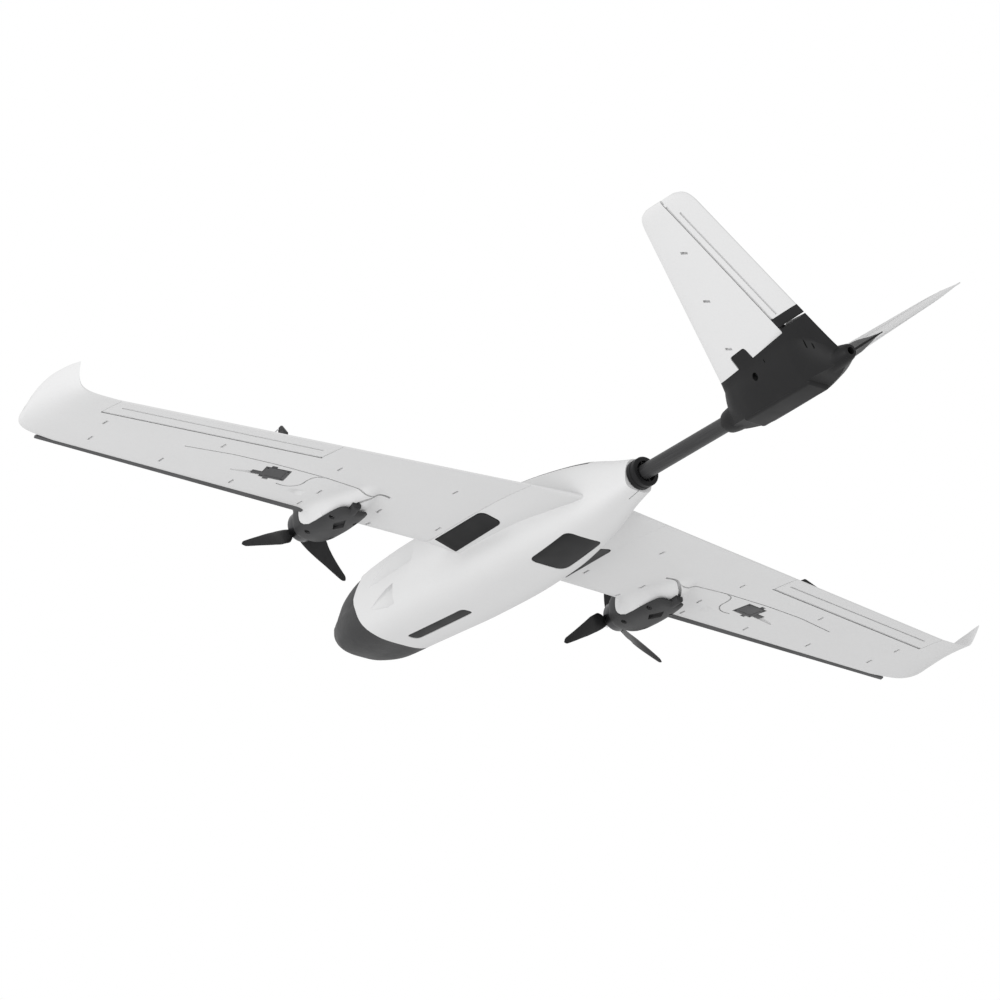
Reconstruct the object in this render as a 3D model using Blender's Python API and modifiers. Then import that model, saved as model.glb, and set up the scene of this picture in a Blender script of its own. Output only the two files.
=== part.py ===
"""Twin-motor V-tail model aeroplane: foam pod and wing, carbon boom, belly lander.

All dimensions below are millimetres in the airframe's own frame: X to port, Y aft, Z up,
X = 0 on the plane of symmetry, Z = 0 on the wing's chord plane at the root.
The datum empty moves that frame so that the belly stands on Z = 0 of the world.
"""
import math

import bmesh
import bpy
from mathutils import Matrix, Vector

MM = 0.001
GAP = 0.3
WALL = 9.0

# Airframe frame in the world: half of nose-to-tail, and the depth of the belly.
DATUM = Vector((0.0, -100.8, 37.4))

# Wing planform, as straight lines in the distance from the plane of symmetry.
WING_JOINT_X = 73.0
TIP_START_X = 446.0
LE_ROOT_Y = -44.0
LE_SLOPE = -0.052
TE_ROOT_Y = 137.0
TE_SLOPE = -0.2085
DIHEDRAL_ROOT_Z = -4.2
DIHEDRAL_SLOPE = 0.0214
WING_THICKNESS = 0.108
NOSE_RISE = 0.034
TE_DROOP = 0.033
TE_EDGE = 1.4

# Aileron: ends and hinge line.
AILERON_IN = (244.5, 53.1)
AILERON_OUT = (444.7, 13.7)
AILERON_END_GAP = 1.0
HINGE_CLEARANCE = 0.4

# Power units.
MOTOR_X = 172.3
THRUST_Z = 5.7
PROP_Y = -97.5
PROP_RADIUS = 63.5
PROP_PITCH = 109.0
PROP_PHASE = 4.2
ROOT_PITCH = math.radians(36.0)
BLADES = 3
MOTOR_RADIUS = 14.0
FIREWALL_Y = -77.0
COVER_SCREW_HALF = 12.5
COVER_SCREW_YS = (-60.5, -22.0)
COVER_SCREW_RADIUS = 2.6
COVER_VENT = ((-0.5, -40.0), (6.0, -29.0), (1.0, -17.0), (-6.0, -31.0))

# Spar and boom tubes.
SPAR_Y = 14.0
SPAR_Z = 7.0
SPAR_RADIUS = 4.0
SPAR_HALF_LENGTH = 235.0
BOOM_RADIUS = 7.0
BOOM_Z = -1.6
BOOM_START_Y = 118.0
BOOM_END_Y = 470.0
COLLAR_RADIUS = 12.0
COLLAR_FLANGE = (180.4, 13.6)
COLLAR_YS = (169.5, 192.0)

# V tail: panels rise from the boom at this angle, S is distance up a panel.
TAIL_ANGLE = math.radians(39.25)
TAIL_APEX_Z = -3.0
TAIL_LE = (325.2, 0.322)
TAIL_TE = (472.6, -0.104)
TAIL_TIP_S = 194.5
RUDDER_ROOT_S = 59.3
CAP_ROOT_S = 50.2
TAIL_HINGE_IN = (60.0, 436.0)
TAIL_HINGE_OUT = (194.0, 422.6)
TAIL_ROOT_LINE = ((33.9, 336.0), (44.8, 437.8))
TAIL_TAB = ((370.5, 392.5), 50.0)

# Aileron linkage: arm and horn have one radius, so the rod moves parallel to itself.
LINK_RADIUS = 14.5
HORN_X = 284.0
LINK_SPAN = 46.0
SERVO_AXIS_Z = 8.2

# Stations of the pod: Y, half width, bottom Z, top Z.
POD = (
    (-279.0, 3.0, 9.5, 16.0),
    (-277.2, 9.0, 5.0, 22.5),
    (-272.0, 15.0, -1.0, 30.5),
    (-261.0, 21.0, -12.0, 37.5),
    (-243.0, 30.0, -22.5, 43.0),
    (-215.0, 38.0, -28.2, 48.0),
    (-185.0, 41.0, -29.2, 51.0),
    (-140.0, 43.0, -32.0, 53.0),
    (-80.0, 45.0, -35.5, 52.5),
    (-20.0, 45.0, -37.4, 51.0),
    (40.0, 41.5, -36.5, 45.6),
    (85.0, 34.5, -33.5, 39.6),
    (125.0, 26.0, -28.0, 31.5),
    (158.0, 18.0, -20.5, 20.5),
    (180.0, 14.2, -16.3, 13.8),
)
POD_SIDES = 28
SQUARE_BELOW = 3.1
SQUARE_ABOVE = 2.5

SECTION_TOP = (1.0, 0.88, 0.74, 0.58, 0.42, 0.27, 0.16, 0.08, 0.03, 0.008)
SECTION_BOTTOM = (0.0, 0.008, 0.03, 0.08, 0.16, 0.40, 0.60, 0.74, 0.88, 1.0)

# Wing tip stations: leading edge point, trailing edge point, thickness, bow.
TIP = (
    ((462.0, -65.6, 5.9), (462.0, 42.4, 5.9), 0.100, (0.0, 0.0)),
    ((474.0, -63.4, 6.4), (474.0, 41.0, 7.4), 0.088, (0.6, 0.4)),
    ((482.0, -59.4, 7.4), (481.5, 40.6, 11.0), 0.074, (2.0, 1.2)),
    ((487.0, -53.6, 8.8), (484.8, 42.0, 17.0), 0.060, (3.6, 2.2)),
    ((489.2, -47.0, 10.8), (486.3, 44.6, 23.0), 0.046, (4.6, 3.2)),
    ((490.0, -40.0, 13.6), (487.2, 47.4, 28.4), 0.026, (5.0, 3.6)),
)

TAIL_SECTION = (0.0, 0.02, 0.07, 0.16, 0.32, 0.52, 0.72, 0.88, 1.0)

# Tip of a tail panel: S, leading edge Y, trailing edge Y, depth.
TAIL_TIP = (
    (180.0, 383.2, 453.8, 7.2),
    (187.5, 386.6, 451.0, 6.4),
    (192.0, 391.5, 446.0, 5.0),
    (194.5, 399.0, 437.0, 2.6),
)

HATCH_HALF_WIDTH = 29.0
HATCH_YS = (-204.0, -26.0)
SLOT_YS = (-167.5, -79.0)
SLOT_HALF_WIDTH = 6.2
RECESS = 3.4
WINDOW_YS = (43.0, 102.0)
WINDOW_HALF_WIDTH = 19.5
ROOT_PANEL_YS = (-27.0, 45.0)
ROOT_PANEL_XS = (49.0, 71.5)
FILLET_DROPS = (11.0, 6.2, 0.6)
DECK_YS = (-12.0, 126.0)

TRAY = ((-22.0, -172.0, -17.5), (22.0, -12.0, -15.5))
PAYLOAD_PAD = ((-18.0, -91.0, -16.0), (18.0, -71.0, -14.3))
BATTERY = ((-17.0, -170.0, -15.2), (17.0, -94.0, 7.8))
CONTROLLER = ((-18.0, -68.0, -15.2), (18.0, -32.0, -5.2))
RECEIVER = ((-9.0, -29.0, -15.2), (9.0, -16.0, -9.5))

SERVO_SIZE = (23.0, 20.5, 11.6)
ARM_SLOT = (3.2, 9.6)
ARM_SLOT_DEPTH = 4.9

NACELLE = (
    (FIREWALL_Y, 17.5, -11.8, 23.2),
    (-72.0, 19.6, -13.2, 24.6),
    (-60.0, 21.0, -14.6, 23.0),
    (-44.0, 21.0, -15.0, 20.0),
    (-24.0, 19.0, -14.4, 15.0),
    (-8.0, 15.4, -13.0, 9.0),
    (6.0, 9.4, -8.4, 6.0),
    (20.0, 3.0, -2.6, 4.0),
)

EDGE_XS = (196.0, 462.0)
# Fractions of the chord that the strip covers, and its lip from the leading edge (Y, Z).
EDGE_FRACTIONS = (0.004, 0.032)
EDGE_LIP = (-0.5, 0.9)

# Turned profiles: radius, height in front of the firewall.
STATOR_PROFILE = ((3.4, 12.6), (10.4, 12.6), (10.4, 2.2), (7.0, 2.2), (7.0, 0.0), (3.4, 0.0))
BELL_PROFILE = ((2.4, 30.0), (2.4, 15.8), (9.0, 15.8), (MOTOR_RADIUS - 1.2, 15.0),
                (MOTOR_RADIUS, 13.4), (MOTOR_RADIUS, 3.0), (MOTOR_RADIUS - 1.4, 3.0),
                (MOTOR_RADIUS - 1.4, 13.4), (2.8, 13.4), (2.8, -1.0))
ESC_HALF = 8.0
ESC_YZ = ((-68.0, -9.2), (-44.0, -5.0))

# Blade stations: radius, leading edge, trailing edge, thickness.
BLADE = ((5.4, 3.0, -3.0, 3.0), (9.0, 4.2, -6.0, 2.8), (13.0, 4.8, -10.0, 2.4),
         (19.0, 5.0, -13.4, 2.0), (25.0, 4.8, -13.0, 1.7), (32.0, 4.4, -10.4, 1.5), (40.0, 3.7, -8.0, 1.3),
         (49.0, 3.1, -5.8, 1.1), (57.0, 2.5, -4.2, 1.0), (61.5, 2.0, -3.2, 0.9),
         (PROP_RADIUS, 1.0, -1.9, 0.8))
BLADE_SECTION = ((1.0, 0.0), (0.7, 0.45), (0.3, 0.55), (0.0, 0.08), (0.0, -0.08), (0.4, -0.35),
                 (0.8, -0.4))

HOUSING_HUB = ((309.0, 7.8), (313.0, 10.2), (324.0, 11.6), (440.0, 11.6), (458.0, 10.4),
               (470.6, 8.8), (480.6, 6.2))
KEEL = ((-12.0, 345.0, -17.5), (12.0, 438.0, -6.0))
# Belly of the housing, between keel and arms: Y, bottom, half width, how far up the arms.
BELLY = ((321.0, -10.8, 4.0, 8.0), (336.0, -13.6, 8.5, 28.0), (362.0, -16.2, 11.6, 33.0),
         (432.0, -15.6, 11.6, 38.0), (456.0, -12.2, 8.0, 28.0), (471.0, -8.4, 3.0, 8.0))
BELLY_BULGE = 2.2
TAIL_SCREW = (26.0, 384.3)
TAIL_SCREW_RADIUS = 3.0
DRAIN_RADIUS = 3.0

# Section of the housing's arms: fraction of the way back, half depth.
ARM_SECTION = ((0.0, 0.7), (0.03, 3.2), (0.1, 5.4), (0.3, 7.0), (0.6, 7.0), (0.8, 6.2),
               (0.91, 3.6), (1.0, 1.0))
# Arm stations: S, leading edge, trailing edge, scale of the half depth.
ARM = ((0.0, 318.0, 474.0, 1.16), (14.0, 327.0, 471.4, 1.1), (30.0, 334.6, 469.4, 1.0),
       (62.0, 344.9, 466.0, 0.84))

TAIL_SERVO_S = (18.0, 40.0)
TAIL_SERVO_HALF = (10.0, 4.2)
SHAFT_RADIUS = 2.4

PALETTE = {
    "foam": ((0.80, 0.80, 0.80), 0.75, 0.0),
    "bumper": ((0.075, 0.075, 0.078), 0.6, 0.0),
    "moulding": ((0.045, 0.045, 0.047), 0.5, 0.0),
    "nylon": ((0.07, 0.07, 0.073), 0.45, 0.0),
    "carbon": ((0.06, 0.06, 0.065), 0.4, 0.1),
    "strip": ((0.10, 0.10, 0.105), 0.55, 0.0),
    "propeller": ((0.03, 0.03, 0.032), 0.3, 0.0),
    "motor": ((0.16, 0.16, 0.17), 0.35, 0.8),
    "copper": ((0.45, 0.22, 0.10), 0.4, 0.7),
    "steel": ((0.55, 0.55, 0.56), 0.3, 1.0),
    "servo": ((0.09, 0.09, 0.095), 0.45, 0.0),
    "board": ((0.02, 0.10, 0.05), 0.5, 0.0),
    "pack": ((0.05, 0.05, 0.16), 0.45, 0.0),
}

MATERIALS = {}


# ---------------------------------------------------------------- scene helpers

def clear_scene():
    for old in list(bpy.data.objects):
        bpy.data.objects.remove(old, do_unlink=True)


def new_collection(name):
    collection = bpy.data.collections.new(name)
    bpy.context.scene.collection.children.link(collection)
    return collection


def material(node, kind):
    colour, roughness, metallic = PALETTE[kind]
    made = bpy.data.materials.new(node + "_" + kind)
    made.use_nodes = True
    shader = made.node_tree.nodes["Principled BSDF"]
    shader.inputs["Base Color"].default_value = (*colour, 1.0)
    shader.inputs["Roughness"].default_value = roughness
    shader.inputs["Metallic"].default_value = metallic
    made.diffuse_color = (*colour, 1.0)
    return made


def new_empty(name, point, parent=None):
    """An empty at a point of the airframe frame."""
    empty = bpy.data.objects.new(name, None)
    empty.empty_display_size = 0.02
    parts.objects.link(empty)
    empty["frame_point"] = tuple(point)
    if parent is None:
        empty.location = Vector(point) * MM
    else:
        empty.parent = parent
        empty.location = (Vector(point) - frame_point(parent)) * MM
    return empty


def frame_point(empty):
    if empty is datum:
        return Vector((0.0, 0.0, 0.0))
    return Vector(empty["frame_point"])


def add_object(name, mesh, kind=None, parent=None):
    """A part when kind names a material, otherwise a cutter."""
    made = bpy.data.objects.new(name, mesh)
    if kind is None:
        cutters.objects.link(made)
        made.display_type = "WIRE"
        made.hide_render = True
    else:
        parts.objects.link(made)
        mesh.materials.append(material(name, kind))
    made.parent = parent or datum
    made.location = -frame_point(made.parent) * MM
    return made


def mesh_from_bmesh(name, bm, smooth_angle=35.0):
    bmesh.ops.recalc_face_normals(bm, faces=bm.faces)
    mesh = bpy.data.meshes.new(name)
    bm.to_mesh(mesh)
    bm.free()
    mesh.shade_smooth()
    mesh.set_sharp_from_angle(angle=math.radians(smooth_angle))
    return mesh


def cut(target, cutter, operation="DIFFERENCE"):
    modifier = target.modifiers.new(cutter.name, "BOOLEAN")
    modifier.operation = operation
    modifier.solver = "EXACT"
    modifier.object = cutter
    return modifier


def bevel(target, width, segments=2, angle=40.0):
    modifier = target.modifiers.new("edges", "BEVEL")
    modifier.width = width * MM
    modifier.segments = segments
    modifier.limit_method = "ANGLE"
    modifier.angle_limit = math.radians(angle)
    return modifier


# ---------------------------------------------------------------- solids

def loft_mesh(name, rings, smooth_angle=35.0):
    """A closed skin through rings of equal count, each end capped rung by rung."""
    bm = bmesh.new()
    rows = [[bm.verts.new(Vector(point) * MM) for point in ring] for ring in rings]
    count = len(rows[0])
    for low, high in zip(rows, rows[1:]):
        for i in range(count):
            j = (i + 1) % count
            bm.faces.new((low[i], low[j], high[j], high[i]))
    for row in (rows[0], rows[-1]):
        for i in range((count - 1) // 2):
            rung = [row[i], row[i + 1], row[count - 2 - i], row[count - 1 - i]]
            if rung[1] is rung[2]:
                rung.pop(1)
            bm.faces.new(rung)
    return mesh_from_bmesh(name, bm, smooth_angle)


def loft(name, rings, kind=None, parent=None, smooth_angle=35.0):
    return add_object(name, loft_mesh(name, rings, smooth_angle), kind, parent)


def box(name, low, high, kind=None, parent=None, turn=None):
    """A box between two corners, turned about its centre when turn is a 3x3 matrix."""
    low = Vector(low) * MM
    high = Vector(high) * MM
    size = high - low
    bm = bmesh.new()
    bmesh.ops.create_cube(bm, size=1.0)
    bmesh.ops.scale(bm, vec=size, verts=bm.verts)
    if turn is not None:
        bmesh.ops.rotate(bm, cent=(0, 0, 0), matrix=turn, verts=bm.verts)
    bmesh.ops.translate(bm, vec=(low + high) / 2, verts=bm.verts)
    return add_object(name, mesh_from_bmesh(name, bm), kind, parent)


def rod(name, start, end, radius, kind=None, parent=None, sides=24, end_radius=None):
    """A cylinder or cone between two points."""
    start = Vector(start) * MM
    end = Vector(end) * MM
    along = end - start
    bm = bmesh.new()
    bmesh.ops.create_cone(bm, cap_ends=True, segments=sides, radius1=radius * MM,
                          radius2=(end_radius or radius) * MM, depth=along.length)
    turn = Vector((0, 0, 1)).rotation_difference(along).to_matrix()
    bmesh.ops.rotate(bm, cent=(0, 0, 0), matrix=turn, verts=bm.verts)
    bmesh.ops.translate(bm, vec=(start + end) / 2, verts=bm.verts)
    return add_object(name, mesh_from_bmesh(name, bm), kind, parent)


def plate(name, outline, thickness, frame, kind=None, parent=None):
    """A flat outline (2D curve) extruded about its plane; frame maps it into place."""
    curve = bpy.data.curves.new(name + "_outline", "CURVE")
    curve.dimensions = "2D"
    curve.fill_mode = "BOTH"
    curve.extrude = thickness * MM / 2
    spline = curve.splines.new("POLY")
    spline.points.add(len(outline) - 1)
    for point, (u, v) in zip(spline.points, outline):
        point.co = (u * MM, v * MM, 0.0, 1.0)
    spline.use_cyclic_u = True
    drawn = bpy.data.objects.new(name + "_outline", curve)
    cutters.objects.link(drawn)
    graph = bpy.context.evaluated_depsgraph_get()
    mesh = bpy.data.meshes.new_from_object(drawn.evaluated_get(graph))
    bpy.data.objects.remove(drawn, do_unlink=True)
    bm = bmesh.new()
    bm.from_mesh(mesh)
    bmesh.ops.remove_doubles(bm, verts=bm.verts, dist=0.00001)
    moved = frame.copy()
    moved.translation = moved.translation * MM
    bmesh.ops.transform(bm, matrix=moved, verts=bm.verts)
    bpy.data.meshes.remove(mesh)
    return add_object(name, mesh_from_bmesh(name, bm), kind, parent)


def frame_matrix(origin, u, v):
    """Local x along u and local y along v, at origin."""
    u = Vector(u).normalized()
    w = u.cross(Vector(v)).normalized()
    v = w.cross(u)
    matrix = Matrix((u, v, w)).transposed().to_4x4()
    matrix.translation = Vector(origin)
    return matrix


def round_corners(points, radius, steps=4):
    """Each corner of a convex or concave outline replaced by a short curve."""
    out = []
    count = len(points)
    for i, point in enumerate(points):
        here = Vector(point)
        before = Vector(points[i - 1])
        after = Vector(points[(i + 1) % count])
        r_in = min(radius, (before - here).length * 0.45)
        r_out = min(radius, (after - here).length * 0.45)
        a = here + (before - here).normalized() * r_in
        b = here + (after - here).normalized() * r_out
        for k in range(steps + 1):
            t = k / steps
            curve = a * (1 - t) ** 2 + here * 2 * t * (1 - t) + b * t ** 2
            out.append((curve.x, curve.y))
    return out


def turned(name, profile, origin, axis, kind, parent=None, steps=28):
    """A profile of (radius, height) pairs, top to bottom, turned about an axis."""
    bm = bmesh.new()
    rings = []
    for radius, height in profile:
        ring = []
        for k in range(steps):
            angle = 2 * math.pi * k / steps
            ring.append(bm.verts.new(Vector((math.cos(angle) * radius,
                                             math.sin(angle) * radius, height)) * MM))
        rings.append(ring)
    for high, low in zip(rings, rings[1:] + rings[:1]):
        for i in range(steps):
            j = (i + 1) % steps
            bm.faces.new((high[i], high[j], low[j], low[i]))
    turn = Vector((0, 0, 1)).rotation_difference(Vector(axis)).to_matrix()
    bmesh.ops.rotate(bm, cent=(0, 0, 0), matrix=turn, verts=bm.verts)
    bmesh.ops.translate(bm, vec=Vector(origin) * MM, verts=bm.verts)
    return add_object(name, mesh_from_bmesh(name, bm), kind, parent)


# ---------------------------------------------------------------- fuselage shape


def pod_section(half_width, low, high, y, inset=0.0, wide=0.34):
    """A rounded section whose widest line lies low on the side."""
    centre = low + (high - low) * wide
    ring = []
    for k in range(POD_SIDES):
        angle = 2 * math.pi * k / POD_SIDES
        c = math.cos(angle)
        s = math.sin(angle)
        power = 2 / (SQUARE_ABOVE if s > 0 else SQUARE_BELOW)
        depth = (high - centre if s > 0 else centre - low) - inset
        x = math.copysign(abs(c) ** power, c) * (half_width - inset)
        z = centre + math.copysign(abs(s) ** power, s) * depth
        ring.append((x, y, z))
    return ring


def pod_rings(stations, inset=0.0):
    return [pod_section(w, low, high, y, inset) for y, w, low, high in stations]


def pod_at(y):
    """Half width, bottom and top of the pod at a station."""
    for a, b in zip(POD, POD[1:]):
        if a[0] <= y <= b[0]:
            t = (y - a[0]) / (b[0] - a[0])
            return [a[i] + (b[i] - a[i]) * t for i in (1, 2, 3)]
    return list(POD[-1][1:])


# ---------------------------------------------------------------- wing shape


def half_depth(s, thickness):
    """The usual four-digit thickness curve, for a chord of 1."""
    return 5 * thickness * (0.2969 * math.sqrt(s) - 0.126 * s - 0.3516 * s ** 2
                            + 0.2843 * s ** 3 - 0.1036 * s ** 4)


def section_low(s, chord):
    """Underside: rounded up at the nose, flat, then drooping to the trailing edge."""
    z = -TE_DROOP * chord * max(0.0, (s - 0.45) / 0.55) ** 2
    nose = max(0.0, 1 - s / 0.13)
    return z + NOSE_RISE * chord * nose ** 2.4


def section_high(s, chord, thickness=WING_THICKNESS):
    depth = 2 * half_depth(s, thickness) * chord
    edge = TE_EDGE * s
    nose = max(0.0, 1 - s / 0.13) ** 2.4 * NOSE_RISE * chord
    low = section_low(s, chord) - nose
    return low + max(depth, edge) + nose * (1 - min(1.0, s / 0.13))


def wing_section(le, te, thickness=WING_THICKNESS, bow=(0.0, 0.0)):
    """Ring between a leading and a trailing edge point, bowed out (X, Z) between."""
    le = Vector(le)
    te = Vector(te)
    chord = (te - le).length
    ring = []
    tops = [(s, True) for s in SECTION_TOP]
    bottoms = [(s, False) for s in SECTION_BOTTOM]
    for s, top in tops + bottoms:
        point = le.lerp(te, s)
        height = section_high(s, chord, thickness) if top else section_low(s, chord)
        arch = 4 * s * (1 - s)
        ring.append((point.x + bow[0] * arch, point.y, point.z + height + bow[1] * arch))
    return ring


def le_y(x):
    return LE_ROOT_Y + LE_SLOPE * x


def te_y(x):
    return TE_ROOT_Y + TE_SLOPE * x


def under_z(x):
    return DIHEDRAL_ROOT_Z + DIHEDRAL_SLOPE * x


def panel_ring(x, side, drop=0.0):
    z = under_z(x) - drop
    ring = wing_section((x, le_y(x), z), (x, te_y(x), z))
    return [(px * side, py, pz) for px, py, pz in ring]


def wing_rings(side):
    rings = [panel_ring(x, side) for x in (WING_JOINT_X + GAP, TIP_START_X)]
    for le, te, thickness, bow in TIP:
        ring = wing_section(le, te, thickness, bow)
        rings.append([(px * side, py, pz) for px, py, pz in ring])
    return rings


def section_middle(x, y):
    """Height of the wing's mid surface, and its half thickness, at a plan point."""
    chord = te_y(x) - le_y(x)
    s = (y - le_y(x)) / chord
    low = under_z(x) + section_low(s, chord)
    high = under_z(x) + section_high(s, chord)
    return (low + high) / 2, (high - low) / 2


def hinge_points(side):
    """The aileron's axis: inner and outer point, and the half thickness at each."""
    out = []
    for x, y in (AILERON_IN, AILERON_OUT):
        z, half = section_middle(x, y)
        out.append((Vector((x * side, y, z)), half))
    return out


# ---------------------------------------------------------------- tail shape

def tail_point(s, y, out, side):
    """A point up the tail panel: S along it, out is the height off its mid plane."""
    x = s * math.cos(TAIL_ANGLE) - out * math.sin(TAIL_ANGLE)
    z = TAIL_APEX_Z + s * math.sin(TAIL_ANGLE) + out * math.cos(TAIL_ANGLE)
    return Vector((x * side, y, z))


def tail_ring(s, front, back, depth, side):
    """A symmetrical section of a given greatest depth."""
    chord = back - front
    ring = []
    fractions = [(f, 1) for f in reversed(TAIL_SECTION)] + [(f, -1) for f in TAIL_SECTION[1:]]
    for f, sign in fractions:
        half = max(half_depth(f, depth / chord) * chord, 0.55 * min(1.0, f * 9))
        ring.append(tail_point(s, front + chord * f, sign * half, side))
    return ring


def tail_front(s):
    return TAIL_LE[0] + s * TAIL_LE[1]


def tail_back(s):
    return TAIL_TE[0] + s * TAIL_TE[1]


def tail_depth(s):
    return 15.0 - 7.8 * (s - 30.0) / 150.0


def fin_rings(side, start_s):
    rings = [tail_ring(start_s, tail_front(start_s), tail_back(start_s),
                       tail_depth(start_s), side)]
    return rings + [tail_ring(s, a, b, d, side) for s, a, b, d in TAIL_TIP]


def tail_hinge(s):
    (s0, y0), (s1, y1) = TAIL_HINGE_IN, TAIL_HINGE_OUT
    return y0 + (s - s0) * (y1 - y0) / (s1 - s0)


def tail_prism(name, outline, depth, side):
    """A cutter with an outline in (S, Y) of the panel's plane."""
    return_frame = frame_matrix(tail_point(0, 0, 0, side),
                                tail_point(1, 0, 0, side) - tail_point(0, 0, 0, side),
                                (0, 1, 0))
    return plate(name, outline, depth, return_frame)


def tail_half_depth_at_hinge(s):
    front = tail_front(s)
    chord = tail_back(s) - front
    f = (tail_hinge(s) - front) / chord
    return half_depth(f, tail_depth(s) / chord) * chord


# ---------------------------------------------------------------- fuselage pieces


def hatch_outline(grow):
    w = HATCH_HALF_WIDTH + grow
    front, back = HATCH_YS[0] - grow, HATCH_YS[1] + grow
    corners = [(-w, front + 34), (-w * 0.62, front), (w * 0.62, front), (w, front + 34),
               (w, back), (-w, back)]
    return round_corners(corners, 12.0)


def bumper_profile(grow):
    """Side view (Y, Z) of the region that the nose bumper covers."""
    back = [(-184.0, -60.0), (-188.0, -26.0), (-204.0, 6.0), (-205.5, 12.0), (-200.0, 30.0),
            (-209.0, 44.0), (-212.0, 70.0)]
    return [(-310.0, -60.0)] + [(y + grow, z) for y, z in back] + [(-310.0, 70.0)]


def side_prism(name, outline, half_width, centre_x=0.0):
    """A cutter with an outline in (Y, Z), extruded along X."""
    frame = frame_matrix((centre_x, 0, 0), (0, 1, 0), (0, 0, 1))
    return plate(name, outline, half_width * 2, frame)


def stub_ring(x):
    """Wing centre section with a fillet that deepens towards the pod."""
    a = abs(x)
    xs = (20.0, ROOT_PANEL_XS[0], ROOT_PANEL_XS[1])
    if a <= xs[1]:
        t = (a - xs[0]) / (xs[1] - xs[0])
        drop = FILLET_DROPS[0] + (FILLET_DROPS[1] - FILLET_DROPS[0]) * max(0.0, t)
    else:
        t = min(1.0, (a - xs[1]) / (xs[2] - xs[1]))
        drop = FILLET_DROPS[1] + (FILLET_DROPS[2] - FILLET_DROPS[1]) * t
    z = under_z(a)
    chord = te_y(a) - le_y(a)
    ring = []
    for px, py, pz in wing_section((x, le_y(a), z), (x, te_y(a), z)):
        s = min(1.0, max(0.0, (py - le_y(a)) / chord))
        low = z + section_low(s, chord)
        blend = max(0.0, 1 - (pz - low) / (0.5 * WING_THICKNESS * chord))
        ring.append((px, py, pz - drop * blend * (1 - s) ** 0.4 * min(1.0, s * 9)))
    return ring


def make_fuselage():
    outer = pod_rings(POD)
    shell = loft("fuselage_shell", outer, "foam")
    stub_xs = (-WING_JOINT_X, -60.0, -49.0, -20.0, 20.0, 49.0, 60.0, WING_JOINT_X)
    stubs = [stub_ring(x) for x in stub_xs]
    cut(shell, loft("wing_stub_form", stubs), "UNION")

    inner_stations = [st for st in POD if -230.0 < st[0] < 130.0]
    cut(shell, loft("bay_form", pod_rings(inner_stations, WALL)))
    cut(shell, plate("hatch_hole", hatch_outline(GAP), 80.0,
                     frame_matrix((0, 0, 60.0), (1, 0, 0), (0, 1, 0))))
    cut(shell, side_prism("bumper_region", bumper_profile(GAP), 60.0))
    cut(shell, plate("slot_recess", slot_outline(GAP), 20.0, belly_frame(SLOT_YS, RECESS - 10.0)))
    cut(shell, plate("window_recess", window_outline(GAP), 20.0, belly_frame(WINDOW_YS, RECESS - 10.0)))
    cut(shell, rod("boom_bore", (0, BOOM_START_Y - 1, BOOM_Z), (0, 200, BOOM_Z), BOOM_RADIUS + GAP))
    cut(shell, rod("collar_bore", (0, COLLAR_YS[0] - GAP, BOOM_Z), (0, 200, BOOM_Z),
                   COLLAR_RADIUS + GAP))
    cut(shell, rod("spar_bore", (-90, SPAR_Y, SPAR_Z), (90, SPAR_Y, SPAR_Z), SPAR_RADIUS + GAP))
    for side in (1, -1):
        cut(shell, root_panel("root_recess_" + str(side), side, GAP, None))
        cut(shell, cheek_intake("cheek_intake_" + str(side), side))
    cut(shell, deck_cover("deck_recess", GAP, 2.2, None))

    hatch = loft("battery_hatch", outer, "foam", hatch_joint)
    cut(hatch, plate("hatch_region", hatch_outline(0.0), 60.0,
                     frame_matrix((0, 0, 60.0), (1, 0, 0), (0, 1, 0))), "INTERSECT")
    cut(hatch, loft("hatch_inside", pod_rings(inner_stations, WALL)))

    bumper = loft("nose_bumper", outer, "bumper")
    cut(bumper, side_prism("bumper_keep", bumper_profile(0.0), 60.0), "INTERSECT")
    nose_stations = [st for st in POD if -274.0 < st[0] < -180.0]
    cut(bumper, loft("bumper_inside", pod_rings(nose_stations, 3.0)))


def belly_frame(ys, depth):
    """Plane along the sloping belly between two stations, raised from its skin by depth."""
    front, back = ys
    low_front, low_back = pod_at(front)[1], pod_at(back)[1]
    return frame_matrix((0, (front + back) / 2, (low_front + low_back) / 2 + depth), (1, 0, 0),
                        (0, back - front, low_back - low_front))


def slot_outline(grow):
    w = SLOT_HALF_WIDTH + grow
    half = (SLOT_YS[1] - SLOT_YS[0]) / 2 + grow
    return round_corners([(-w, -half), (w, -half), (w, half), (-w, half)], 6.0)


def window_outline(grow):
    w = WINDOW_HALF_WIDTH + grow
    half = (WINDOW_YS[1] - WINDOW_YS[0]) / 2 + grow
    return round_corners([(-w, -half), (w, -half), (w, half), (-w, half)], 9.0)


def root_panel(name, side, grow, kind):
    """Thin plate that follows the fillet under the wing root."""
    x0, x1 = ROOT_PANEL_XS[0] - grow, ROOT_PANEL_XS[1] + grow
    y0, y1 = ROOT_PANEL_YS[0] - grow, ROOT_PANEL_YS[1] + grow
    rings = []
    for y, inner, outer in ((y0, x0, x1), (y1 - 10, x0, x1), (y1 - 3, x0 + 2, x1 - 2),
                            (y1, x0 + 6, x1 - 6)):
        low = [(inner, root_under(inner, y)), (outer, root_under(outer, y))]
        reach = 2.4 + grow
        proud = 0.5 if kind else 6.0
        ring = [(low[0][0], low[0][1] - proud), (low[1][0], low[1][1] - proud),
                (low[1][0], low[1][1] + reach), (low[0][0], low[0][1] + reach)]
        rings.append([(x * side, y, z) for x, z in ring])
    return loft(name, rings, kind)


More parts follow.
